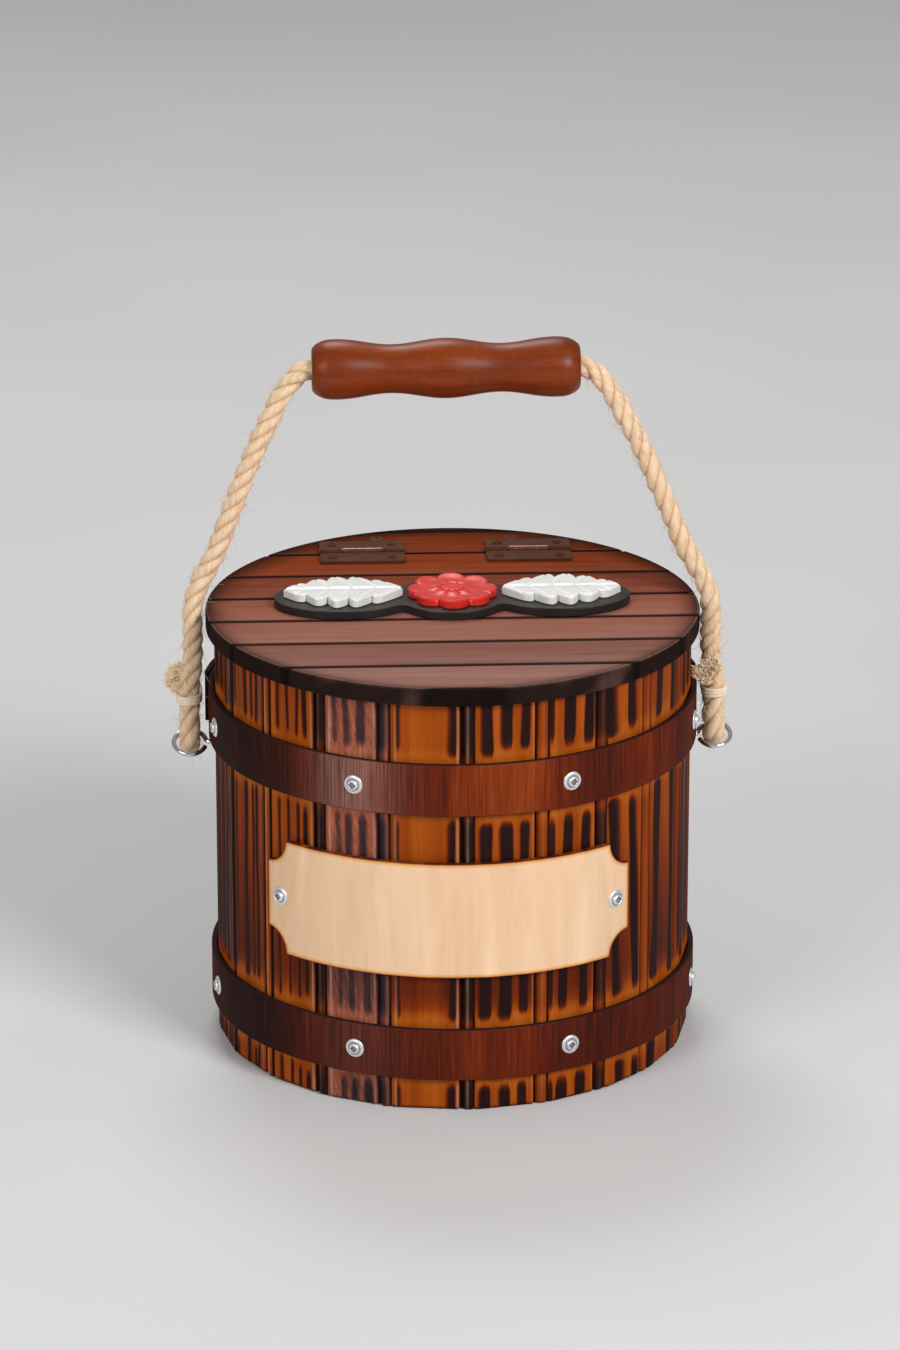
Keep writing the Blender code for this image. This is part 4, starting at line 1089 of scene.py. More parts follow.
    def stave(self, number: int) -> Surface:
        """One stave: a closed bar whose face carries the grain's relief, its ends lightly toasted.

        Args:
            number: The stave's number.

        Returns:
            The stave in its place.
        """
        draw = np.random.default_rng(self.seed + number)
        left, right = self.edges(number)
        flat = self.flat_radius / math.cos(math.pi / self.count) * math.cos((right - left) / 2)
        slope = math.tan((right - left) / 2)
        half = flat * slope - self.joint
        back = (flat - self.thickness) * slope - self.joint
        across, depth = self.section(half)
        height = np.concatenate([
            self.foot_round * (1 - np.cos(np.linspace(0, math.pi / 2, 6)[:-1])),
            np.linspace(self.foot_round, self.height, self.rows)])[:, None]
        near_foot = np.clip(1 - height / self.foot_round, 0, 1)
        rounding = self.foot_round * (1 - np.sqrt(1 - near_foot ** 2))
        raised = self.relief(across, height, number == self.rough_stave, draw)
        face = stacked(across, -(flat - depth - rounding) - raised, height)
        rear = stacked(np.array([back, -back]), self.thickness - flat, height)
        loop = np.concatenate([face, rear, face[:, :1]], axis=1)
        char = self.char(number, across, height, draw)
        bare = np.full((len(height), 2), self.back_char)
        char = np.concatenate([char, bare, char[:, :1]], axis=1)
        # Painted highlights on the edges and the bead, none on the back
        wear = np.pad(self.wear(number, across, height, draw), ((0, 0), (0, 3)))
        start = self.grain_step * number
        uv = stacked(start + np.append(across, across[-1] + np.array(self.round_back)), height)
        middle = np.array([0, self.thickness / 2 - flat, 0])
        shrink = 1 - 2 * self.end_ring / np.array([2 * half, self.thickness, np.inf])
        ends = middle + (loop[[0, -1]] - middle) * shrink
        end_uv = stacked(start + ends[..., 0], self.end_grain * ends[..., 1])
        loop, uv = (np.concatenate([end[:1], whole, end[1:]])
                    for end, whole in ((ends, loop), (end_uv, uv)))
        char, wear = (np.pad(mark, ((1, 1), (0, 0)), constant_values=value)
                      for mark, value in ((char, self.end_char), (wear, 0.0)))
        surface = grid(loop, uv, caps=True, marks={"char": char, "wear": wear})
        surface.points = turned(surface.points, (left + right) / 2)
        return surface

    def build(self, lacquered: Material, brushed: Material) -> None:
        """Builds every stave.

        Args:
            lacquered: Finish of the smooth staves.
            brushed: Finish of the one rough stave, its pink-grey tones partly a painted sheen.
        """
        for number in range(1, self.count + 1):
            finish = brushed if number == self.rough_stave else lacquered
            piece(f"scorched_stave_{number:02d}", self.stave(number), finish, Body.BUCKET,
                  [f"stave_{number:02d}"], 50)


@dataclass
class WasherScrew:
    """A zinc-plated screw with a wide flange, a domed head and a square recess."""

    radius: float = 0.0049
    height: float = 0.0022
    recess: float = 0.00168
    recess_depth: float = 0.0011
    lip: float = 0.00012
    core: float = 0.0016

    def surface(self, shank: float) -> Surface:
        """Turns the head and a plain shank below its seat.

        Args:
            shank: Length of the shank.

        Returns:
            A surface about Z, its seat at z = 0.
        """
        r, h, k, d = self.radius, self.height, self.recess, self.recess_depth
        profile = np.array([
            [0, h - d], [0.5 * k, h - d], [0.93 * k, h - d], [k, h - self.lip], [1.1 * k, h],
            [0.46 * r, 0.97 * h], [0.52 * r, 0.86 * h], [0.565 * r, 0.60 * h], [0.59 * r, 0.32 * h],
            [0.67 * r, 0.28 * h], [0.72 * r, 0.40 * h], [0.84 * r, 0.38 * h], [0.94 * r, 0.25 * h],
            [0.985 * r, 0.14 * h], [r, 0.06 * h], [r, 0], [self.core, 0], [self.core, -shank],
            [0, -shank],
        ])
        lobes, dirt = np.zeros((2, len(profile)))
        lobes[1:5] = [0.10, 0.14, 0.14, 0.10]
        # Painted shade in the recess and in the groove at the dome's foot
        dirt[:3] = 0.70
        dirt[8:10] = 0.55
        return spun(profile, 48, lobes, 4, dirt)


@dataclass
class Hoops:
    """Bent plywood hoops with rounded edges, and the screws that hold them."""

    inner: float = SEAT_RADIUS
    thickness: float = 0.0029
    height: float = HOOP_HEIGHT
    edge: float = 0.0006
    top_z: float = TOP_HOOP_Z
    bottom_z: float = BOTTOM_HOOP_Z
    lap_start: float = math.radians(99)
    lap_end: float = math.radians(105)
    lap_rest: float = math.radians(1)
    lap_blend: float = math.radians(10)
    lap_gap: float = 0.0003
    seam: float = 0.0008
    screws: int = 7
    shank: float = 0.0015
    facet: float = math.radians(1.2)
    stain: float = 0.35
    ripple: float = 0.15
    # Middle and half width in degrees and strength of each patch: stain, painted light at the front
    # and painted shade at the sides on both hoops; the same on the lower one alone; painted sheen
    bright: tuple[Triple, ...] = (
        (10, 22, 0.58), (48, 10, 0.46), (-64, 18, -0.85), (-40, 6, 0.20), (31, 6, -0.14),
        (75, 14, -0.12), (14, 8, 0.30))
    bright_low: tuple[Triple, ...] = (
        (-14, 10, -0.30), (14, 14, -0.45), (48, 8, -0.50))
    dull: tuple[Triple, ...] = ((-26, 9, 1.3),)
    sheen_low: float = 0.15

    def section(self) -> Array:
        """The hoop's section: a rectangle of thickness by height with rounded corners.

        Returns:
            Distance out and up of each point, the first one again at the end.
        """
        turns = np.linspace(0, math.pi / 2, 5)
        corner = self.edge * np.column_stack([np.cos(turns), np.sin(turns)])
        inner, outer = self.edge, self.thickness - self.edge
        low, high = self.edge, self.height - self.edge
        points = []
        for centre in ((outer, high), (inner, high), (inner, low), (outer, low)):
            points.append(corner + centre)
            corner = corner @ np.array([[0, 1], [-1, 0]])
        return np.vstack([*points, points[0][:1]])

    def lapped(self, angle: Array) -> Array:
        """Inner radius of the rear half: on the front half, then easing down to the staves.

        Args:
            angle: Angles round the bucket.

        Returns:
            The radius at each.
        """
        from_front = np.minimum(angle, TURN - angle)
        drop = ease((from_front - self.lap_end - self.lap_rest) / self.lap_blend)
        return self.inner + (1 - drop) * (self.thickness + self.lap_gap)

    def band(self, start: float, stop: float, lower: float, lapped: bool = False) -> Surface:
        """Carries the section round an arc.

        Args:
            start: First angle.
            stop: Last angle.
            lower: Height of the lower edge.
            lapped: Whether the strip lies over another at its ends.

        Returns:
            The closed strip, with metres round and up as its uv.
        """
        angle = np.linspace(start, stop, round((stop - start) / self.facet) + 1)
        radius = self.lapped(angle) if lapped else np.full_like(angle, self.inner)
        section = self.section()
        reach = radius[:, None] + section[:, 0]
        points = outward(angle)[:, None] * reach[..., None]
        points[..., 2] = lower + section[:, 1]
        uv = stacked(angle[:, None] * self.inner + lower, section[:, 1])
        edge = np.minimum(section[:, 1], self.height - section[:, 1])
        degrees = np.degrees(np.remainder(angle + math.pi, TURN) - math.pi)
        low = lower == self.bottom_z
        bumps = self.bright + self.bright_low * low
        # Stain that differs at random round the hoop, plus painted light at the front and painted
        # shade at the sides
        stain = self.stain + self.ripple * np.cos(5 * angle + 40 * lower)
        stain = stain + self.patches(degrees, bumps)
        # Painted sheen at its patches, weaker on the lower hoop
        bloom = self.patches(degrees, self.dull) * (self.sheen_low if low else 1)
        return grid(points, uv, caps=True, marks={
            "edge": edge, "stain": stain[:, None], "bloom": bloom[:, None]})

    def patches(self, degrees: Array, bumps: tuple[Triple, ...]) -> Array:
        """Sum of bell curves round the hoop, each a middle, a half width and a height."""
        return sum(high * bell((degrees - middle) / half) for middle, half, high in bumps)

    def build(self, ply: Material, zinc: Material) -> None:
        """Builds the two hoops and their screws, in the middle of every third stave.

        Args:
            ply: Finish of the hoops.
            zinc: Finish of the screws.
        """
        joint = math.pi - self.seam / self.inner / 2
        for name, node, strip in (
                ("top_front", "top_hoop_front", (-self.lap_end, self.lap_end, self.top_z)),
                ("top_rear", "top_hoop_rear",
                 (self.lap_start, TURN - self.lap_start, self.top_z, True)),
                ("bottom", "bottom_hoop", (-joint, joint, self.bottom_z))):
            piece(f"bent_hoop_{name}", self.band(*strip), ply, Body.BUCKET, [node])
        outer = self.inner + self.thickness
        for hoop, lower in (("top", self.top_z), ("bottom", self.bottom_z)):
            for i, angle in enumerate((np.arange(self.screws) + 0.5) * TURN / self.screws):
                # The bottom hoop's joint is at the back, where a screw would be
                if hoop == "bottom" and abs(angle - math.pi) < self.facet:
                    continue
                place = outward(angle) * outer + [0, 0, lower + self.height / 2]
                head = aimed(WasherScrew().surface(self.shank), place, outward(angle))
                piece(f"{hoop}_hoop_screw_{i + 1}", head, zinc, Body.BUCKET)


@dataclass
class Nameplate:
    """A blank curved plate of birch plywood with hollow corners."""

    inner: float = SEAT_RADIUS
    thickness: float = 0.0030
    height: float = 0.060
    length: float = 0.200
    notch: float = 0.0125
    turn: float = math.radians(-4)
    screw_inset: float = 0.0085
    shank: float = 0.010

    def build(self, birch: Material, zinc: Material) -> None:
        """Builds the plate on a grid that its own outline stretches, and its two screws.

        A row at height z reaches from -L to L, where L is half the length less the hollow
        corner's n sin a at the distance n cos a from the upper or lower edge.

        Args:
            birch: Finish of the plate.
            zinc: Finish of the screws.
        """
        lower, upper = (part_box("nameplate")[i].z for i in (0, 1))
        a = np.linspace(0, math.pi / 2, 15)
        near, cut = self.notch * np.sin(a), self.notch * np.cos(a)
        inner_rows = np.linspace(self.notch, self.height - self.notch, 25)[1:-1]
        rise = np.concatenate([near, inner_rows, self.height - near[::-1]])
        half = self.length / 2 - np.concatenate([cut, np.zeros(len(inner_rows)), cut[::-1]])
        share = np.sin(np.linspace(-1, 1, 97) * math.pi / 2)
        across = half[:, None] * share
        up = np.broadcast_to(rise[:, None], across.shape)
        corner_x = self.length / 2 - np.abs(across)
        corner_z = np.minimum(up, self.height - up)
        edge = np.minimum(corner_z, corner_x)
        edge = np.maximum(np.minimum(edge, np.hypot(corner_x, corner_z) - self.notch), 0)
        outer = self.inner + self.thickness

        def shell(radius: float) -> Surface:
            """Bends the flat grid round the bucket.

            Args:
                radius: The radius that it lies at.

            Returns:
                One face of the plate.
            """
            points = outward(self.turn + across / outer) * radius
            points[..., 2] = lower + up
            return grid(points, stacked(across, up), marks={"edge": edge})

        plate_surface = walled(shell(outer), shell(self.inner), len(share))
        piece("birch_nameplate", plate_surface, birch, Body.BUCKET, ["nameplate"], 40)
        reach = self.length / 2 - self.screw_inset
        for side in Side:
            angle = self.turn + side.value * reach / outer
            place = outward(angle) * outer + [0, 0, (lower + upper) / 2]
            head = aimed(WasherScrew().surface(self.shank), place, outward(angle))
            piece(f"plate_screw_{side.word}", head, zinc, Body.BUCKET,
                  [f"nameplate_screw_{side.word}"])


@dataclass(frozen=True)
class CrossScrew:
    """A small screw head with a cross recess."""

    radius: float
    height: float
    recess: float
    rim: float = 0.0003

    def surface(self, shank: float) -> Surface:
        """Turns the head: a cross-shaped hollow, a low dome, and a shank below.

        Args:
            shank: Length below the head's seat.

        Returns:
            A surface about Z, its seat at z = 0.
        """
        r, h, k = self.radius, self.height, self.recess
        dome = np.linspace(0, 1, 7)[:, None]
        dome = np.hstack([r * (0.72 + 0.28 * np.sin(dome * math.pi / 2)),
                          h * np.cos(dome * math.pi / 2) * 0.7 + 0.3 * h * (1 - dome)])
        depth = 1.2 * k
        profile = np.vstack([
            [[0, h - depth], [0.35 * k, h - depth], [0.8 * k, h - 0.25 * depth], [k, h]],
            dome,
            [[r, -self.rim], [0.5 * r, -shank], [0, -shank]],
        ])
        lobes = np.zeros(len(profile))
        lobes[1:4] = [0.35, 0.45, 0.45]
        # The rows of the cross recess get painted shade
        return spun(profile, 32, lobes, 4, np.arange(len(profile)) < 3)


@dataclass
class Lid:
    """Six boards that lift and one at the back that stays, with eased and smoked edges."""

    radius: float = 0.1247
    hinge_gap: float = 0.0020
    plank_gap: float = 0.0014
    planks: int = 6
    arris: float = 0.0014
    foot_arris: float = 0.0006
    # Strength of the painted highlight along a board's rounded upper edge
    rub: float = 0.9
    screw: CrossScrew = CrossScrew(radius=0.0037, height=0.0006, recess=0.0016)
    screw_length: float = 0.006
    screw_sunk: float = 0.0002

    @property
    def pitch(self) -> float:
        """Width of a board and its gap."""
        return (HINGE_LINE[1] + self.radius) / self.planks

    def outline(self, front: float, back: float, shrink: float) -> Array:
        """The part of the lid's disc between two lines across it, shrunk all round.

        Args:
            front: Y of the front line.
            back: Y of the back line.
            shrink: How far every edge moves inwards.

        Returns:
            Points of the outline, anticlockwise from the front right.
        """
        reach = self.radius - shrink
        front, back = max(front + shrink, -reach), min(back - shrink, reach)
        first, last = (math.acos(np.clip(-y / reach, -1, 1)) for y in (front, back))
        right = reach * outward(np.linspace(first, last, 49))[:, :2]
        straight = np.linspace(1, -1, 30)[1:-1]
        rear = np.column_stack([straight * right[-1, 0], np.full(len(straight), back)])
        fore = np.column_stack([-straight * right[0, 0], np.full(len(straight), front)])
        return np.vstack([right, rear, (right * [-1, 1])[::-1], fore])

    def board(self, front: float, back: float, node: str) -> Surface:
        """A board between two lines, its upper edges rounded and its lower ones eased.

        Args:
            front: Y of the front line.
            back: Y of the back line.
            node: The frame's board, for its heights.

        Returns:
            The closed board, with a painted highlight along its rounded edge.
        """
        low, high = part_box(node)
        edges = [(self.foot_arris, low.z), (0.0, low.z + self.foot_arris)]
        edges += [(move, high.z - drop) for move, drop in rounded_edge(self.arris)]
        loops = [self.outline(front, back, move) for move, _ in edges]
        # Only the middle row of the rounded edge gets the painted highlight
        wear = [0.0] * len(edges)
        wear[-2] = self.rub
        return plate(loops, [z for _, z in edges], wear)

    def build(self, boards: Material, battens: Material, bronzed: Material) -> None:
        """Builds the boards and the rear board's screws, and dresses the battens.

        Args:
            boards: Finish of the boards.
            battens: Finish of the battens below.
            bronzed: Finish of the screws.
        """
        hinge_y = HINGE_LINE[1]
        node = "lid_rear_plank"
        rear = self.board(hinge_y + self.hinge_gap / 2, self.radius, node)
        piece("lid_board_rear", rear, boards, Body.BUCKET, [node])
        back = hinge_y - self.hinge_gap / 2
        for i in range(self.planks):
            front = hinge_y - (i + 1) * self.pitch + self.plank_gap / 2
            if i == self.planks - 1:
                front = -self.radius
            node = f"lid_plank_{i + 1}"
            piece(f"lid_board_{i + 1}", self.board(front, back, node), boards, Body.LID, [node])
            back = front - self.plank_gap
        for side in Side:
            node = f"rear_plank_screw_{side.word}"
            low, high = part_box(node)
            place = np.array([(low.x + high.x) / 2, (low.y + high.y) / 2,
                              high.z - self.screw_sunk])
            head = aimed(self.screw.surface(self.screw_length), place, UP)
            piece(f"rear_screw_{side.word}", head, bronzed, Body.BUCKET, [node])
            dress(f"lid_batten_{side.word}", battens)


def dress(node: str, finish: Material) -> None:
    """Gives a node of the frame that stays in view its finish.

    Args:
        node: The node's name.
        finish: Its material.
    """
    mesh = frame["nodes"][node].data
    mesh.materials.clear()
    mesh.materials.append(finish)


@dataclass
class Hinges:
    """Brown butt hinges on top of the lid: two leaves, three knuckles and four screws each."""

    length: float = 0.044
    leaf: float = 0.0165
    barrel: float = 0.0017
    middle: float = 0.0205
    gap: float = 0.0004
    corner: float = 0.0014
    edge: float = 0.0003
    relief: float = 0.0005
    screw_along: float = 0.0155
    screw_out: float = 0.0103
    screw: CrossScrew = CrossScrew(radius=0.0022, height=0.0009, recess=0.0010)
    screw_length: float = 0.001
    knuckle_ease: float = 0.0002
    pin_past: float = 0.0006
    pin_share: float = 0.6

    def leaf_plate(self, centre: float, side: int, low: float, high: float) -> Surface:
        """A leaf with two rounded corners and eased edges, notched for the other's knuckles.

        Args:
            centre: X of the hinge's middle.
            side: 1 behind the pin and -1 in front of it.
            low: Height of its underside.
            high: Height of its top.

        Returns:
            The closed plate.
        """
        half, inner = self.length / 2, self.barrel + self.relief
        knuckle = self.middle / 2 + self.gap
        turns = np.linspace(0, math.pi / 2, 6)
        rounded = self.corner * np.column_stack([np.sin(turns) - 1, np.cos(turns) - 1])
        far = np.array([half, self.leaf]) + rounded
        if side > 0:
            steps = [(half, 0.0), (knuckle, 0.0), (knuckle, inner)]
        else:
            steps = [(half, inner), (knuckle - 2 * self.gap, inner), (knuckle - 2 * self.gap, 0.0)]
        right = np.vstack([far, steps])
        outline = np.vstack([right, (right * [-1, 1])[::-1]])[::-1]
        flat = outline * [1, side]
        if side < 0:
            flat = flat[::-1]
        place = np.array([centre, HINGE_LINE[1]])
        loops = [flat + place, flat + place, inset(flat, self.edge) + place]
        return plate(loops, [low, high - self.edge, high])

    def knuckle(self, centre: float, length: float, radius: float) -> Surface:
        """A round bar along the pin's line with eased ends.

        Args:
            centre: X of its middle.
            length: Its length.
            radius: Its radius.

        Returns:
            The closed bar.
        """
        turn = np.linspace(0, TURN, 33)
        half, eased = length / 2, length / 2 - self.knuckle_ease
        along = np.array([-half, -eased, eased, half])[:, None]
        size = radius - self.knuckle_ease * np.array([1, 0, 0, 1])[:, None]
        return grid(stacked(centre + along, HINGE_LINE[1] + size * np.cos(turn),
                            HINGE_LINE[2] + size * np.sin(turn)), caps=True)

    def build(self, bronzed: Material, sheen_tone: Material) -> None:
        """Builds both hinges.

        Args:
            bronzed: Finish of the leaves and screws.
            sheen_tone: Finish of the middle knuckle and the pin, a lighter copy of the bronzed
                steel as painted highlight.
        """
        outer = (self.length - self.middle) / 2 - self.gap
        shift = (self.length - outer) / 2
        for side in Side:
            low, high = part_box(f"hinge_{side.word}_fixed_leaf")
            centre, under, top = (low.x + high.x) / 2, low.z, HINGE_LINE[2]
            fixed = joined([self.leaf_plate(centre, 1, under, top),
                            self.knuckle(centre - shift, outer, self.barrel),
                            self.knuckle(centre + shift, outer, self.barrel)])
            piece(f"butt_hinge_{side.word}_rear", fixed, bronzed, Body.BUCKET,
                  [f"hinge_{side.word}_fixed_leaf"])
            piece(f"butt_hinge_{side.word}_front", self.leaf_plate(centre, -1, under, top), bronzed,
                  Body.LID, [f"hinge_{side.word}_moving_leaf"])
            # The middle knuckle gets the lighter copy, a painted highlight
            piece(f"butt_hinge_{side.word}_knuckle", self.knuckle(centre, self.middle, self.barrel),
                  sheen_tone, Body.LID)
            piece(f"butt_hinge_{side.word}_pin",
                  self.knuckle(centre, self.length + self.pin_past, self.barrel * self.pin_share),
                  sheen_tone, Body.BUCKET, [f"hinge_{side.word}_pin"])
            for behind, body in ((1, Body.BUCKET), (-1, Body.LID)):
                for along in (-1, 1):
                    place = np.array([centre + along * self.screw_along,
                                      HINGE_LINE[1] + behind * self.screw_out, top])
                    head = aimed(self.screw.surface(self.screw_length), place, UP)
                    piece(f"hinge_screw_{side.word}_{'rear' if behind > 0 else 'front'}_"
                          f"{'inner' if along * side.value < 0 else 'outer'}", head, bronzed, body)


@dataclass
class ScrewEyes:
    """Bright steel wire bent into an open ring on a shank, tilted towards the front."""

    height: float = 0.1535
    centre: float = EYE_REACH
    radius: float = 0.0082
    wire: float = 0.0012
    tilt: float = math.radians(27.6)
    fillet: float = 0.0030
    root: float = 0.1117
    end: float = math.radians(158)

    def path(self) -> Array:
        """The wire in its own plane: a shank, a bend, and an open circle.

        Returns:
            Points of distance from the axis and distance across, a row each.
        """
        offset = math.sqrt(self.radius ** 2 + 2 * self.radius * self.fillet)
        start = self.centre - offset
        join = math.atan2(self.fillet, offset)
        shank = np.column_stack([np.linspace(self.root, start, 12), np.zeros(12)])
        bend = np.linspace(0, math.pi / 2 - join, 9)[1:]
        bend = np.column_stack([start + self.fillet * np.sin(bend),
                                self.fillet * (1 - np.cos(bend))])
        ring = np.linspace(math.pi - join, -self.end, 90)[1:]
        ring = np.column_stack([self.centre + self.radius * np.cos(ring),
                                self.radius * np.sin(ring)])
        return np.vstack([shank, bend, ring])

    def build(self, steel: Material) -> None:
        """Builds both eyes.

        Args:
            steel: Finish of the wire.
        """
        flat = self.path()
        normal = np.array([0, -math.sin(self.tilt), math.cos(self.tilt)])
        for side in Side:
            points = np.column_stack([
                side.value * flat[:, 0], flat[:, 1] * math.cos(self.tilt),
                self.height + flat[:, 1] * math.sin(self.tilt)])
            piece(f"wire_eye_{side.word}", tube(points, self.wire, 16, normal), steel,
                  Body.BUCKET, [f"screw_eye_{side.word}"], 60)


@dataclass
class RopeHandle:
    """One three-strand rope from a bound tail, round an eye, through the grip and back.

    The route repeats the one that the frame's rope follows.
    """

    radius: float = 0.0053
    eye_x: float = EYE_REACH
    eye_loop: float = 0.0070
    band_z: float = 0.1770
    band_height: float = 0.0042
    spread: float = 0.0057
    mouth: float = 0.0025
    grip_length: float = GRIP_LENGTH
    lean_start: float = 0.281
    leg: tuple[Triple, ...] = (
        (0.973, 0.105, 0.70), (0.967, 0.199, 0.32), (0.960, 0.281, 0.0), (0.894, 0.352, 0.0),
        (0.775, 0.434, 0.0), (0.673, 0.528, 0.0), (0.563, 0.634, 0.0), (0.446, 0.740, 0.0),
        (0.321, 0.838, 0.0), (0.196, 0.927, 0.0), (0.097, 0.974, 0.0))
    tails: tuple[Triple, ...] = (
        (0.0066, -0.0012, 0.0092), (-0.0042, -0.0098, 0.0122))
    loop_steps: int = 9
    lay: float = 0.030
    strand: float = 0.0034
    step: float = 0.0009
    sides: int = 24
    flare: float = 0.20
    flare_length: float = 0.008
    # Height where the reference direction starts to turn, and the height that it turns over
    reference_turn: tuple[float, float] = (0.185, 0.04)
    # Angle from a strand's crown where the groove's painted shade starts, and the angle to full
    # shade
    groove_turn: tuple[float, float] = (1.18, 0.40)
    groove_start: float = 0.004
    uneven: float = 0.045
    uneven_length: float = 0.041
    yarns: int = 11
    yarn_ridge: float = 0.02
    loose_fibres: int = 1700
    # Shortest length and what chance adds to it, then the range of radii
    loose_length: tuple[float, float] = (0.0016, 0.0072)
    loose_radius: tuple[float, float] = (0.00009, 0.00019)
    grip_clear: float = 0.004
    tail_fibres: int = 2200
    tail_length: tuple[float, float] = (0.0009, 0.0028)
    tail_radius: tuple[float, float] = (0.00022, 0.00042)
    tail_root: float = 0.0006
    twine_lift: float = 0.0003
    twine_swell: float = 0.00015
    seed: int = 7

    def half_route(self, side: Side) -> tuple[Array, Array, Array]:
        """One end of the rope: its tail, its turn round the eye, and its leg up to the grip.

        Args:
            side: Which end.

        Returns:
            Route points of the tail, the turn and the leg.
        """
        behind = -side.value
        x = side.value * self.eye_x
        pivot_y, pivot_z = EYE_PIVOT[1:]
        turn = math.pi * np.arange(self.loop_steps + 1) / self.loop_steps
        loop = np.column_stack([np.full(len(turn), x),
                                pivot_y + behind * self.eye_loop * np.cos(turn),
                                pivot_z - self.eye_loop * np.sin(turn)])
        low, high = self.band_z - self.band_height, self.band_z + self.band_height
        out, back, up = self.tails[0 if side is Side.LEFT else 1]
        tail = np.array([
            [x + side.value * out, pivot_y + back, self.band_z + up],
            [x, pivot_y + behind * self.spread, high],
            [x, pivot_y + behind * self.spread, low],
            loop[0]])
        shares = np.array(self.leg)
        mouth = self.grip_length / 2 + self.mouth
        lean = np.maximum((shares[:, 1] - self.lean_start) / (1 - self.lean_start), 0)
        rising = np.column_stack([
            side.value * (mouth + shares[:, 0] * (self.eye_x - mouth)) + GRIP_MIDDLE[0] * lean,
            pivot_y - behind * shares[:, 2] * self.spread,
            self.band_z + shares[:, 1] * (GRIP_MIDDLE[2] - self.band_z)])
        half = self.grip_length / 2
        into = [[GRIP_MIDDLE[0] + side.value * (half + past), pivot_y, GRIP_MIDDLE[2]]
                for past in (self.mouth, -self.mouth)]
        leg = np.vstack([
            loop[-1:], [[x, pivot_y - behind * self.spread, z] for z in (low, high)], rising, into])
        return tail, loop, leg

    def path(self) -> Array:
        """The rope's middle line from tail to tail.

        Returns:
            Points about a step apart.
        """
        halves = []
        for side in Side:
            tail, loop, leg = (smooth_route(part, self.step) for part in self.half_route(side))
            halves.append(np.vstack([tail[:-1], loop[:-1], leg]))
        across = np.linspace(halves[0][-1], halves[1][-1], 120)[1:-1]
        return np.vstack([halves[0], across, halves[1][::-1]])

    def frames(self, path: Array) -> tuple[Array, Array, Array, Array]:
        """Length, direction and two cross directions along the path.

        The reference direction goes from X at the eyes to Y above the lid, where the rope
        stands upright, so that it's never along the rope.

        Args:
            path: The rope's middle line.

        Returns:
            Length so far, direction, first and second cross direction at each point.
        """
        along = unit(np.gradient(path, axis=0))
        low, over = self.reference_turn
        share = ease((path[:, 2:] - low) / over)
        reference = (1 - share) * [1.0, 0, 0] + share * [0, 1.0, 0]
        first = unit(np.cross(along, reference))
        return run_of(path), along, first, np.cross(along, first)

    def strands(self, path: Array) -> Surface:
        """Three strands wound round the path.

        A strand's middle is o (cos t n + sin t b) off the path with t = 2 pi s / lay, and its
        own section is a circle with shallow yarn ridges. Its uv turns against the lay, so that
        the fibres lie along the rope.

        Args:
            path: The rope's middle line.

        Returns:
            The three capped tubes.
        """
        run, _, first, second = self.frames(path)
        offset = self.radius - self.strand
        v = np.linspace(-1, 1, self.sides + 1)
        angle = math.pi * (0.6 * v + 0.4 * v ** 3)
        groove = ease((np.abs(angle) - self.groove_turn[0]) / self.groove_turn[1])
        from_end = np.minimum(run, run[-1] - run)
        wide = (1 + self.flare * ease(1 - from_end / self.flare_length))[:, None]
        draw = np.random.default_rng(self.seed)
        parts = []
        for k in range(3):
            turn = TURN * (run / self.lay + k / 3)[:, None]
            wave = np.sin(TURN * run / self.uneven_length + draw.uniform(0, 6.28))[:, None]
            yarns = np.cos(self.yarns * (angle + 2 * turn))
            size = wide * (1 + self.uneven * wave) * self.strand * (1 + self.yarn_ridge * yarns)
            reach = [(wide * offset * way(turn) + size * way(turn + angle))[..., None]
                     for way in (np.cos, np.sin)]
            points = path[:, None] + reach[0] * first[:, None] + reach[1] * second[:, None]
            uv = stacked(self.strand * (angle + 2 * turn) + 0.03 * k, run[:, None])
            # Painted shade in the grooves, fading out near the ends
            marks = {"groove": groove * ease(from_end / self.groove_start - 0.5)[:, None]}
            parts.append(grid(points, uv, caps=True, marks=marks))
        return joined(parts)

    def hairs(self, roots: Array, ways: Array, curls: Array, lengths: Array,
              thick: Array, taper: float = 0.75, sides: int = 3) -> Surface:
        """Thin many-sided fibres, each a parabola: root + l (w t + c t²).

        Args:
            roots: Where each starts.
            ways: The direction each starts in.
            curls: How each bends away.
            lengths: The length of each.
            thick: The radius of each.
            taper: The share of its radius that each loses up to its tip.
            sides: The sides of each.

        Returns:
            All the fibres in one surface.
        """
        t = np.linspace(0, 1, 7)[None, :, None]
        bent = ways[:, None] * t + curls[:, None] * t ** 2
        lines = roots[:, None] + lengths[:, None, None] * bent
        side = unit(np.cross(ways, curls + [0.013, 0.007, 0.003]))
        other = np.cross(ways, side)
        angle = np.linspace(0, TURN, sides + 1)
        radius = thick[:, None, None, None] * (1 - taper * t[..., None])
        ring = around(angle[:, None], side[:, None, None], other[:, None, None])
        points = lines[:, :, None] + radius * ring
        index = np.arange(points[..., 0].size).reshape(points.shape[:3])
        quads = np.stack([index[:, :-1, :-1], index[:, :-1, 1:], index[:, 1:, 1:],
                          index[:, 1:, :-1]], axis=-1).reshape(-1, 4)
        ends = np.concatenate([index[:, 0, sides - 1::-1], index[:, -1, :sides]])
        uv = stacked(np.arange(len(roots))[:, None, None] * 0.0017,
                     lengths[:, None, None] * t + 0 * angle)
        return Surface(points.reshape(-1, 3), [quads, ends], uv.reshape(-1, 2))

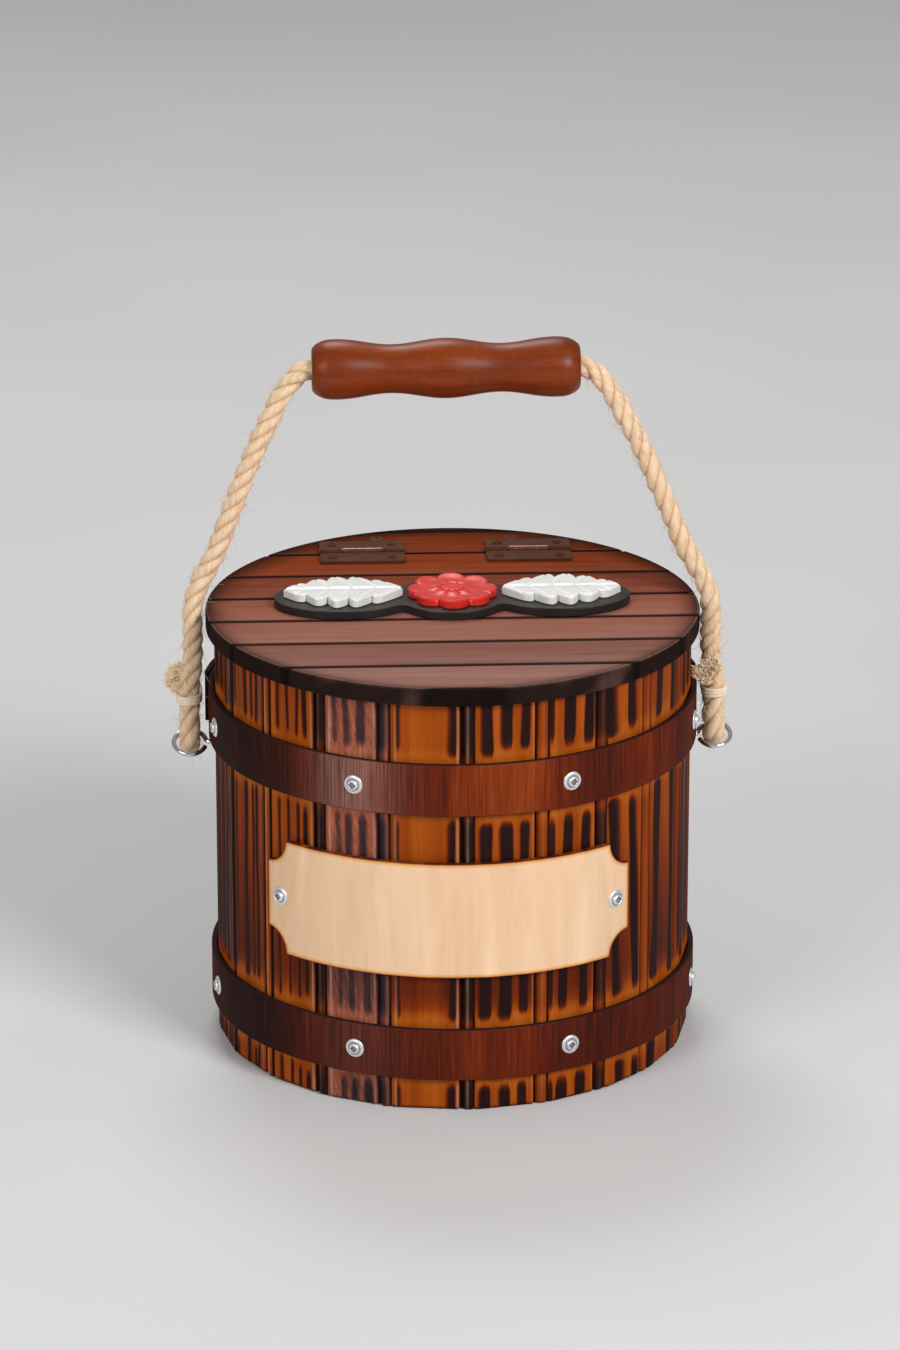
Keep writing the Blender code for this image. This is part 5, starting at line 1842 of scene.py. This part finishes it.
    def fuzz(self, path: Array) -> Surface:
        """Loose fibres that stand off the rope at random outside the grip.

        Args:
            path: The rope's middle line.

        Returns:
            All the loose fibres.
        """
        draw = np.random.default_rng(self.seed + 1)
        _, along, first, second = self.frames(path)
        open_air = np.flatnonzero(
            np.abs(path[:, 0] - GRIP_MIDDLE[0]) > self.grip_length / 2 + self.grip_clear)
        count = self.loose_fibres
        at = draw.choice(open_air, count)
        angle = draw.uniform(0, TURN, count)[:, None]
        out = around(angle, first[at], second[at])
        aside = np.cross(along[at], out)
        way = np.where(draw.random((count, 1)) < 0.5, -1, 1) * along[at]
        start = way + draw.uniform(0.1, 0.9, (count, 1)) * out
        start = unit(start + draw.normal(0, 0.45, (count, 1)) * aside)
        curl = draw.normal(0, 0.30, (count, 3)) + 0.15 * out
        shortest, more = self.loose_length
        length = shortest + more * draw.random(count) ** 2.0
        return self.hairs(path[at] + out * self.radius * 0.90, start, curl, length,
                          draw.uniform(*self.loose_radius, count))

    def brush(self, path: Array, first_end: bool) -> Surface:
        """The frayed end of a tail: fibres that fan out of the cut rope.

        Args:
            path: The rope's middle line.
            first_end: Whether it is the path's first end.

        Returns:
            The fan of fibres.
        """
        draw = np.random.default_rng(self.seed + (2 if first_end else 3))
        _, along, first, second = self.frames(path)
        at, sign = (2, -1) if first_end else (len(path) - 3, 1)
        count = self.tail_fibres
        angle = draw.uniform(0, TURN, count)[:, None]
        reach = np.sqrt(draw.random(count))[:, None]
        out = around(angle, first[at], second[at])
        start = unit(sign * along[at] + out * reach * draw.uniform(0.2, 0.9, (count, 1)))
        curl = 0.35 * out * reach + draw.normal(0, 0.16, (count, 3))
        shortest, more = self.tail_length
        length = shortest + more * draw.random(count) ** 2.5
        spread = out * reach * self.radius * (1 + self.flare) * 0.92
        return self.hairs(path[at] + spread - sign * along[at] * self.tail_root, start, curl,
                          length, draw.uniform(*self.tail_radius, count), taper=0.35, sides=5)

    def binding(self, side: Side) -> Surface:
        """Three turns of thin cord round the doubled rope, each a rounded oblong.

        Args:
            side: Which binding.

        Returns:
            Three closed rings, one on another.
        """
        cord = self.band_height / 4.4
        reach = self.radius + 0.3 * cord
        turn = np.linspace(0, TURN, 97)
        lift = np.sin(turn) * self.twine_lift
        parts = []
        for k in (-1, 0, 1):
            swell = reach + (self.twine_swell if k == 0 else 0.0)
            y = swell * np.cos(turn) + np.clip(np.cos(turn) * 40, -1, 1) * self.spread
            line = np.column_stack([
                side.value * self.eye_x + swell * np.sin(turn), EYE_PIVOT[1] + y,
                self.band_z + k * 1.55 * cord + lift])
            ring = tube(line, cord, 12, UP)
            ring.faces = ring.faces[:1]
            rows = ring.points.reshape(len(turn), -1, 3)
            rows[-1] = rows[0]
            parts.append(ring)
        return joined(parts)

    def build(self, sisal: Material, tail_sisal_lit: Material, cream: Material) -> None:
        """Args:
            sisal: Finish of the rope.
            tail_sisal_lit: Finish of its frayed tails, paler than the rope, partly painted light.
            cream: Finish of the bindings.
        """
        path = self.path()
        rope = piece("twisted_rope", self.strands(path), sisal, Body.HANDLE, ["handle_rope"], 70)
        fibres = piece("rope_fibres", self.fuzz(path), sisal, Body.HANDLE, (), 180)
        ends = [piece(f"rope_tail_{side.word}", self.brush(path, side is Side.LEFT), tail_sisal_lit,
                      Body.HANDLE, (), 180) for side in Side]
        bands = [piece(f"rope_band_{side.word}", self.binding(side), cream, Body.HANDLE,
                       [f"rope_binding_{side.word}"], 60) for side in Side]


@dataclass
class Grip:
    """A turned mahogany grip: three bulges and two waists with rounded ends and a bore."""

    length: float = GRIP_LENGTH
    bulge: float = 0.0151
    waist: float = 0.0122
    pitch: float = 0.0545
    end: float = 0.0096
    rounding: float = 0.0088
    bore: float = 0.0062
    # Width and depth of the bevel at the bore's ends
    bore_bevel: tuple[float, float] = (0.0004, 0.0006)

    def radii(self, along: Array) -> Array:
        """Radius along the grip: m + a cos(2 pi x / pitch), with a quarter round at each end.

        Args:
            along: Places along the grip, from its middle.

        Returns:
            The radius at each.
        """
        half = self.length / 2
        wave = (self.bulge + self.waist) / 2 + (self.bulge - self.waist) / 2 * np.cos(
            TURN * along / self.pitch)
        left = np.clip((half - np.abs(along)) / self.rounding, 0, 1)
        return self.end + (wave - self.end) * np.sqrt(1 - (1 - left) ** 2)

    def build(self, mahogany: Material) -> None:
        """Builds the grip on its own axis.

        Args:
            mahogany: Finish of the grip.
        """
        half = self.length / 2
        ends = half - self.rounding * (1 - np.cos(np.linspace(0, math.pi / 2, 10)))
        body = np.linspace(ends[-1], -ends[-1], 90)[1:-1]
        along = np.concatenate([ends, body, -ends[::-1]])
        outside = np.column_stack([self.radii(along), along])
        wide, deep = self.bore_bevel
        inside = np.array([[self.bore + wide, -half], [self.bore, -half + deep],
                           [self.bore, half - deep], [self.bore + wide, half]])
        surface = spun(np.vstack([outside, inside, outside[:1]]), 72)
        piece("turned_grip", aimed(surface, GRIP_MIDDLE, np.array([1.0, 0, 0])), mahogany,
              Body.GRIP, ["grip"], 50)


@dataclass
class Ornament:
    """A raised plaque on the lid: a black contour plate with two leaves and a rosette."""

    middle_y: float = 0.0030
    margin: float = 0.0050
    edge: float = 0.0005
    leaf_length: float = 0.060
    leaf_half: float = 0.019
    lobes: int = 5
    notch: float = 0.34
    fullness: float = 0.7
    lean: float = 0.8
    sweep: float = 0.45
    tip: float = 0.0006
    rosette: float = 0.0225
    petals: int = 8
    petal_notch: float = 0.18
    petal_fullness: float = 0.6
    gap: float = 0.0025
    rib_width: float = 0.0009
    rib_depth: float = 0.0009
    vein_depth: float = 0.0005
    rim_width: float = 0.0011
    rim_depth: float = 0.0007
    hollow_depth: float = 0.0012
    groove_depth: float = 0.0011
    eye: float = 0.30
    eye_depth: float = 0.0010
    edge_depth: float = 0.0008

    def plaque(self) -> Surface:
        """The contour plate: half width (leaf⁴ + disc⁴)^¼ along its length.

        Returns:
            The closed plate with a rounded upper edge.
        """
        low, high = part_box("plaque")
        turn = np.linspace(0, TURN, 241)[:-1]
        leaf_middle = self.rosette + self.gap + self.leaf_length / 2
        leaf_reach = self.leaf_length / 2 + self.margin
        x = (leaf_middle + leaf_reach) * np.cos(turn)
        leaf = np.sqrt(np.clip(1 - ((np.abs(x) - leaf_middle) / leaf_reach) ** 2, 0, 1))
        leaf = leaf * (self.leaf_half + self.margin)
        disc = np.sqrt(np.clip((self.rosette + self.margin) ** 2 - x * x, 0, None))
        half = (leaf ** 4 + disc ** 4) ** 0.25
        outline = np.column_stack([x, self.middle_y + np.copysign(half, np.sin(turn))])
        edges = rounded_edge(self.edge)
        loops = [outline] + [inset(outline, move) for move, _ in edges]
        return plate(loops, [low.z] + [high.z - drop for _, drop in edges])

    def leaf(self, side: Side) -> Surface:
        """A lobed leaf with a sunk midrib and veins, its top a grid from edge to edge.

        Args:
            side: Which leaf.

        Returns:
            The closed leaf.
        """
        low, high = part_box(f"plaque_leaf_{side.word}")
        s = np.linspace(0, 1, 121)[:, None]
        lobe = np.abs(np.sin(math.pi * self.lobes * s)) ** self.fullness
        width = np.sin(math.pi * s ** self.lean) ** self.fullness
        half = np.maximum(self.leaf_half * width * (1 - self.notch * (1 - lobe)), self.tip)
        w = np.sin(np.linspace(-1, 1, 33) * math.pi / 2)[None]
        start = self.rosette + self.gap
        x = side.value * (start + self.leaf_length * s + self.sweep * half * (1 - s) * np.abs(w))
        y = self.middle_y + half * w
        rib = bell(half * w / self.rib_width)
        vein = np.cos(math.pi * self.lobes * (s - 0.10 * np.abs(w))) ** 40
        rim = 1 - ease((1 - np.abs(w)) * half / self.rim_width)
        z = high.z - self.rib_depth * rib - self.vein_depth * vein * (1 - rib)
        z = z - self.rim_depth * rim
        return walled(grid(stacked(x, y, z)), grid(stacked(x, y, low.z)), w.size)

    def flower(self) -> Surface:
        """The rosette: petals hollowed towards a raised eye, on a polar grid.

        Returns:
            The rosette down to the plaque.
        """
        low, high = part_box("plaque_rosette")
        turn = np.linspace(0, TURN, 193)
        petal = np.abs(np.cos(self.petals * turn / 2)) ** self.petal_fullness
        outline = self.rosette * (1 - self.petal_notch * (1 - petal))
        share = np.concatenate([np.linspace(0.0001, 0.94, 30), np.linspace(0.955, 1, 4)])[:, None]
        past_eye = share - self.eye
        hollow = np.sin(math.pi * np.clip(past_eye / 0.70, 0, 1)) ** 2 * petal
        groove = (1 - petal) * ease(past_eye / 0.2)
        z = high.z - self.hollow_depth * hollow - self.groove_depth * groove
        z = z - self.eye_depth * bell(past_eye / 0.035)
        z = z - self.edge_depth * ease((share - 0.95) / 0.05)
        radius = outline * share
        top = stacked(radius * np.cos(turn), self.middle_y + radius * np.sin(turn), z)
        under = top[[-1, 0]]
        under[..., 2] = low.z
        return grid(np.concatenate([top, under]))

    def build(self, black: Material, white: Material, red: Material) -> None:
        """Builds the plaque and its reliefs.

        Args:
            black: Finish of the plaque.
            white: Finish of the leaves.
            red: Finish of the rosette.
        """
        piece("contour_plaque", self.plaque(), black, Body.LID, ["plaque"], 40)
        for side in Side:
            piece(f"relief_leaf_{side.word}", self.leaf(side), white, Body.LID,
                  [f"plaque_leaf_{side.word}"], 50)
        piece("relief_rosette", self.flower(), red, Body.LID, ["plaque_rosette"], 50)


@dataclass
class Studio:
    """A pale floor, soft lamps and a camera where the photograph's stood."""

    lens_mm: float = 160.0
    sensor_mm: float = 36.0
    azimuth: float = math.radians(-2.6)
    elevation: float = math.radians(19.74)
    distance: float = 3.040
    aim_right: float = -0.00127
    aim_height: float = 0.18756
    floor: float = 12.0
    sky: str = "#EAE8E5"
    sky_strength: float = 0.36
    # Name, place, side and watts of each lamp
    lamps: tuple[tuple[str, Triple, float, float], ...] = (
        ("key", (1.5, -2.1, 1.9), 1.0, 62), ("fill", (-1.7, -2.0, 1.5), 1.2, 27),
        ("back", (-0.2, 1.4, 2.1), 0.9, 20))
    lamp_aim: Triple = (0, 0, 0.15)
    floor_tones: Stops = ((0.3, "#D2D2D3"), (0.7, "#D7D7D8"))

    def camera(self) -> None:
        """Places the camera on a circle round the aim."""
        flat = outward(self.azimuth)
        right = np.array([-flat[1], flat[0], 0])
        aim = right * self.aim_right + [0, 0, self.aim_height]
        back = flat * math.cos(self.elevation) + [0, 0, math.sin(self.elevation)]
        data = bpy.data.cameras.new("camera")
        data.lens, data.sensor_width = self.lens_mm, self.sensor_mm
        item = bpy.data.objects.new("camera", data)
        item.location = aim + back * self.distance
        item.rotation_mode = "QUATERNION"
        item.rotation_quaternion = Vector(-back).to_track_quat("-Z", "Y")
        bpy.context.scene.collection.objects.link(item)
        bpy.context.scene.camera = item

    def lamp(self, name: str, place: Sequence[float], size: float, power: float) -> None:
        """Hangs one square soft lamp that faces the bucket's middle.

        Args:
            name: Its name.
            place: Where it hangs.
            size: Length of its side.
            power: Its power in watts.
        """
        data = bpy.data.lights.new(name, "AREA")
        data.size, data.energy = size, power
        item = bpy.data.objects.new(name, data)
        item.location = place
        item.rotation_mode = "QUATERNION"
        way = Vector(self.lamp_aim) - Vector(place)
        item.rotation_quaternion = way.to_track_quat("-Z", "Y")
        bpy.context.scene.collection.objects.link(item)

    def build(self) -> None:
        """Sets the light, the floor and the camera."""
        scene = bpy.context.scene
        scene.view_settings.view_transform = "Standard"
        scene.world = bpy.data.worlds.new("studio")
        scene.world.use_nodes = True
        sky = scene.world.node_tree.nodes["Background"]
        sky.inputs["Color"].default_value = linear(self.sky)
        sky.inputs["Strength"].default_value = self.sky_strength
        for lamp in self.lamps:
            self.lamp(*lamp)
        shade = Shade("pale_floor")
        cloud = shade.grain(shade.add(Node.PLACE), (400.0, 400.0, 400.0), 2.0)
        finish = shade.finish(shade.add(Node.RAMP, cloud, stops=self.floor_tones),
                              shade.add(Node.SUM, cloud, 0.1, 0.75))
        half = self.floor / 2
        mesh = bpy.data.meshes.new("floor")
        mesh.from_pydata([(-half, -half, 0), (half, -half, 0), (half, half, 0), (-half, half, 0)],
                         [], [(0, 1, 2, 3)])
        mesh.materials.append(finish)
        ground = bpy.data.objects.new("floor", mesh)
        scene.collection.objects.link(ground)
        self.camera()


def main() -> None:
    """Builds the studio and every sub-assembly in order."""
    logging.basicConfig(level=logging.INFO, format="%(name)s %(message)s")
    Studio().build()
    sisal = SisalFibre().material()
    # Paler sisal for the frayed tails, partly painted light on the tufts
    tail_sisal_lit = SisalFibre("loose_sisal", ((0.2, "#F3CFA0"), (0.4, "#F8DCB4"), (0.6, "#FCE8CA"),
                                       (0.8, "#FFF2DC")), relief=0.0).material()
    zinc = Solid("zinc_plated_steel", "#D6D8DA", "#F0F1F2", rough=0.40, metallic=0.8).material()
    bright = Solid("bright_steel_wire", "#C8CACD", "#E6E7E9", rough=0.16, metallic=1.0,
                   speckle_mm=2.0, spread=0.10).material()
    bronzed = Solid("bronzed_steel", "#41200F", "#5C3220", rough=0.45, metallic=0.1,
                    specular=0.1).material()
    # A lighter copy of the bronzed steel: painted highlight on the middle knuckle and the pin
    sheen_tone = Solid("worn_bronzed_steel", "#6E4636", "#94695A", rough=0.26, metallic=0.9,
                 speckle_mm=0.3, spread=0.1).material()
    cream = Solid("cream_twine", "#E8D2B8", "#FAEAD6", rough=0.55, speckle_mm=0.4).material()
    pale = GrainedWood(
        "pale_pine", ((0.2, "#A97B47"), (0.45, "#C69A62"), (0.75, "#DDB883")),
        fibre_mm=(30.0, 0.7, 0.7), figure_mm=(90.0, 5.0, 5.0), gloss=0.55).material()
    mahogany = GrainedWood(
        "turned_mahogany",
        ((0.15, "#581C02"), (0.42, "#6E2803"), (0.62, "#803304"), (0.88, "#92430A")),
        fibre_mm=(30.0, 0.6, 0.6), figure_mm=(70.0, 10.0, 10.0), gloss=0.36, specular=0.25,
        lathe_mm=1.3).material()
    RopeHandle().build(sisal, tail_sisal_lit, cream)
    Cooperage().build(
        ScorchedPine().material(),
        # The rough stave: pink-grey tones that are partly a painted sheen
        ScorchedPine("brushed_pine", ((0.0, "#C98262"), (0.22, "#AB6146"), (0.42, "#804535"),
                                      (0.66, "#4A2E2E"), (1.0, "#20161A")),
                     "#D0A898", fibre_mm=(0.7, 9.0, 1.0), ring_mm=(2.6, 60.0, 1.0), gloss=0.45,
                     coat=0.3, relief_mm=0.30).material())
    dress("base_board", pale)
    Hoops().build(StainedPly().material(), zinc)
    Nameplate().build(BirchPly().material(), zinc)
    lid = Lid()
    lid.build(LidPine(lid.radius, float(HINGE_LINE[1]), lid.pitch).material(), pale, bronzed)
    Hinges().build(bronzed, sheen_tone)
    ScrewEyes().build(bright)
    Grip().build(mahogany)
    Ornament().build(
        Solid("black_acrylic", "#1F1B1B", "#2D2827", rough=0.38, speckle_mm=1.2,
              specular=0.2).material(),
        Solid("white_acrylic", "#DCDCDA", "#EDEDEB", rough=0.34, speckle_mm=1.2).material(),
        Solid("red_acrylic", "#C81F1B", "#DE302A", rough=0.34, speckle_mm=1.2).material())


if __name__ == "__main__":
    main()
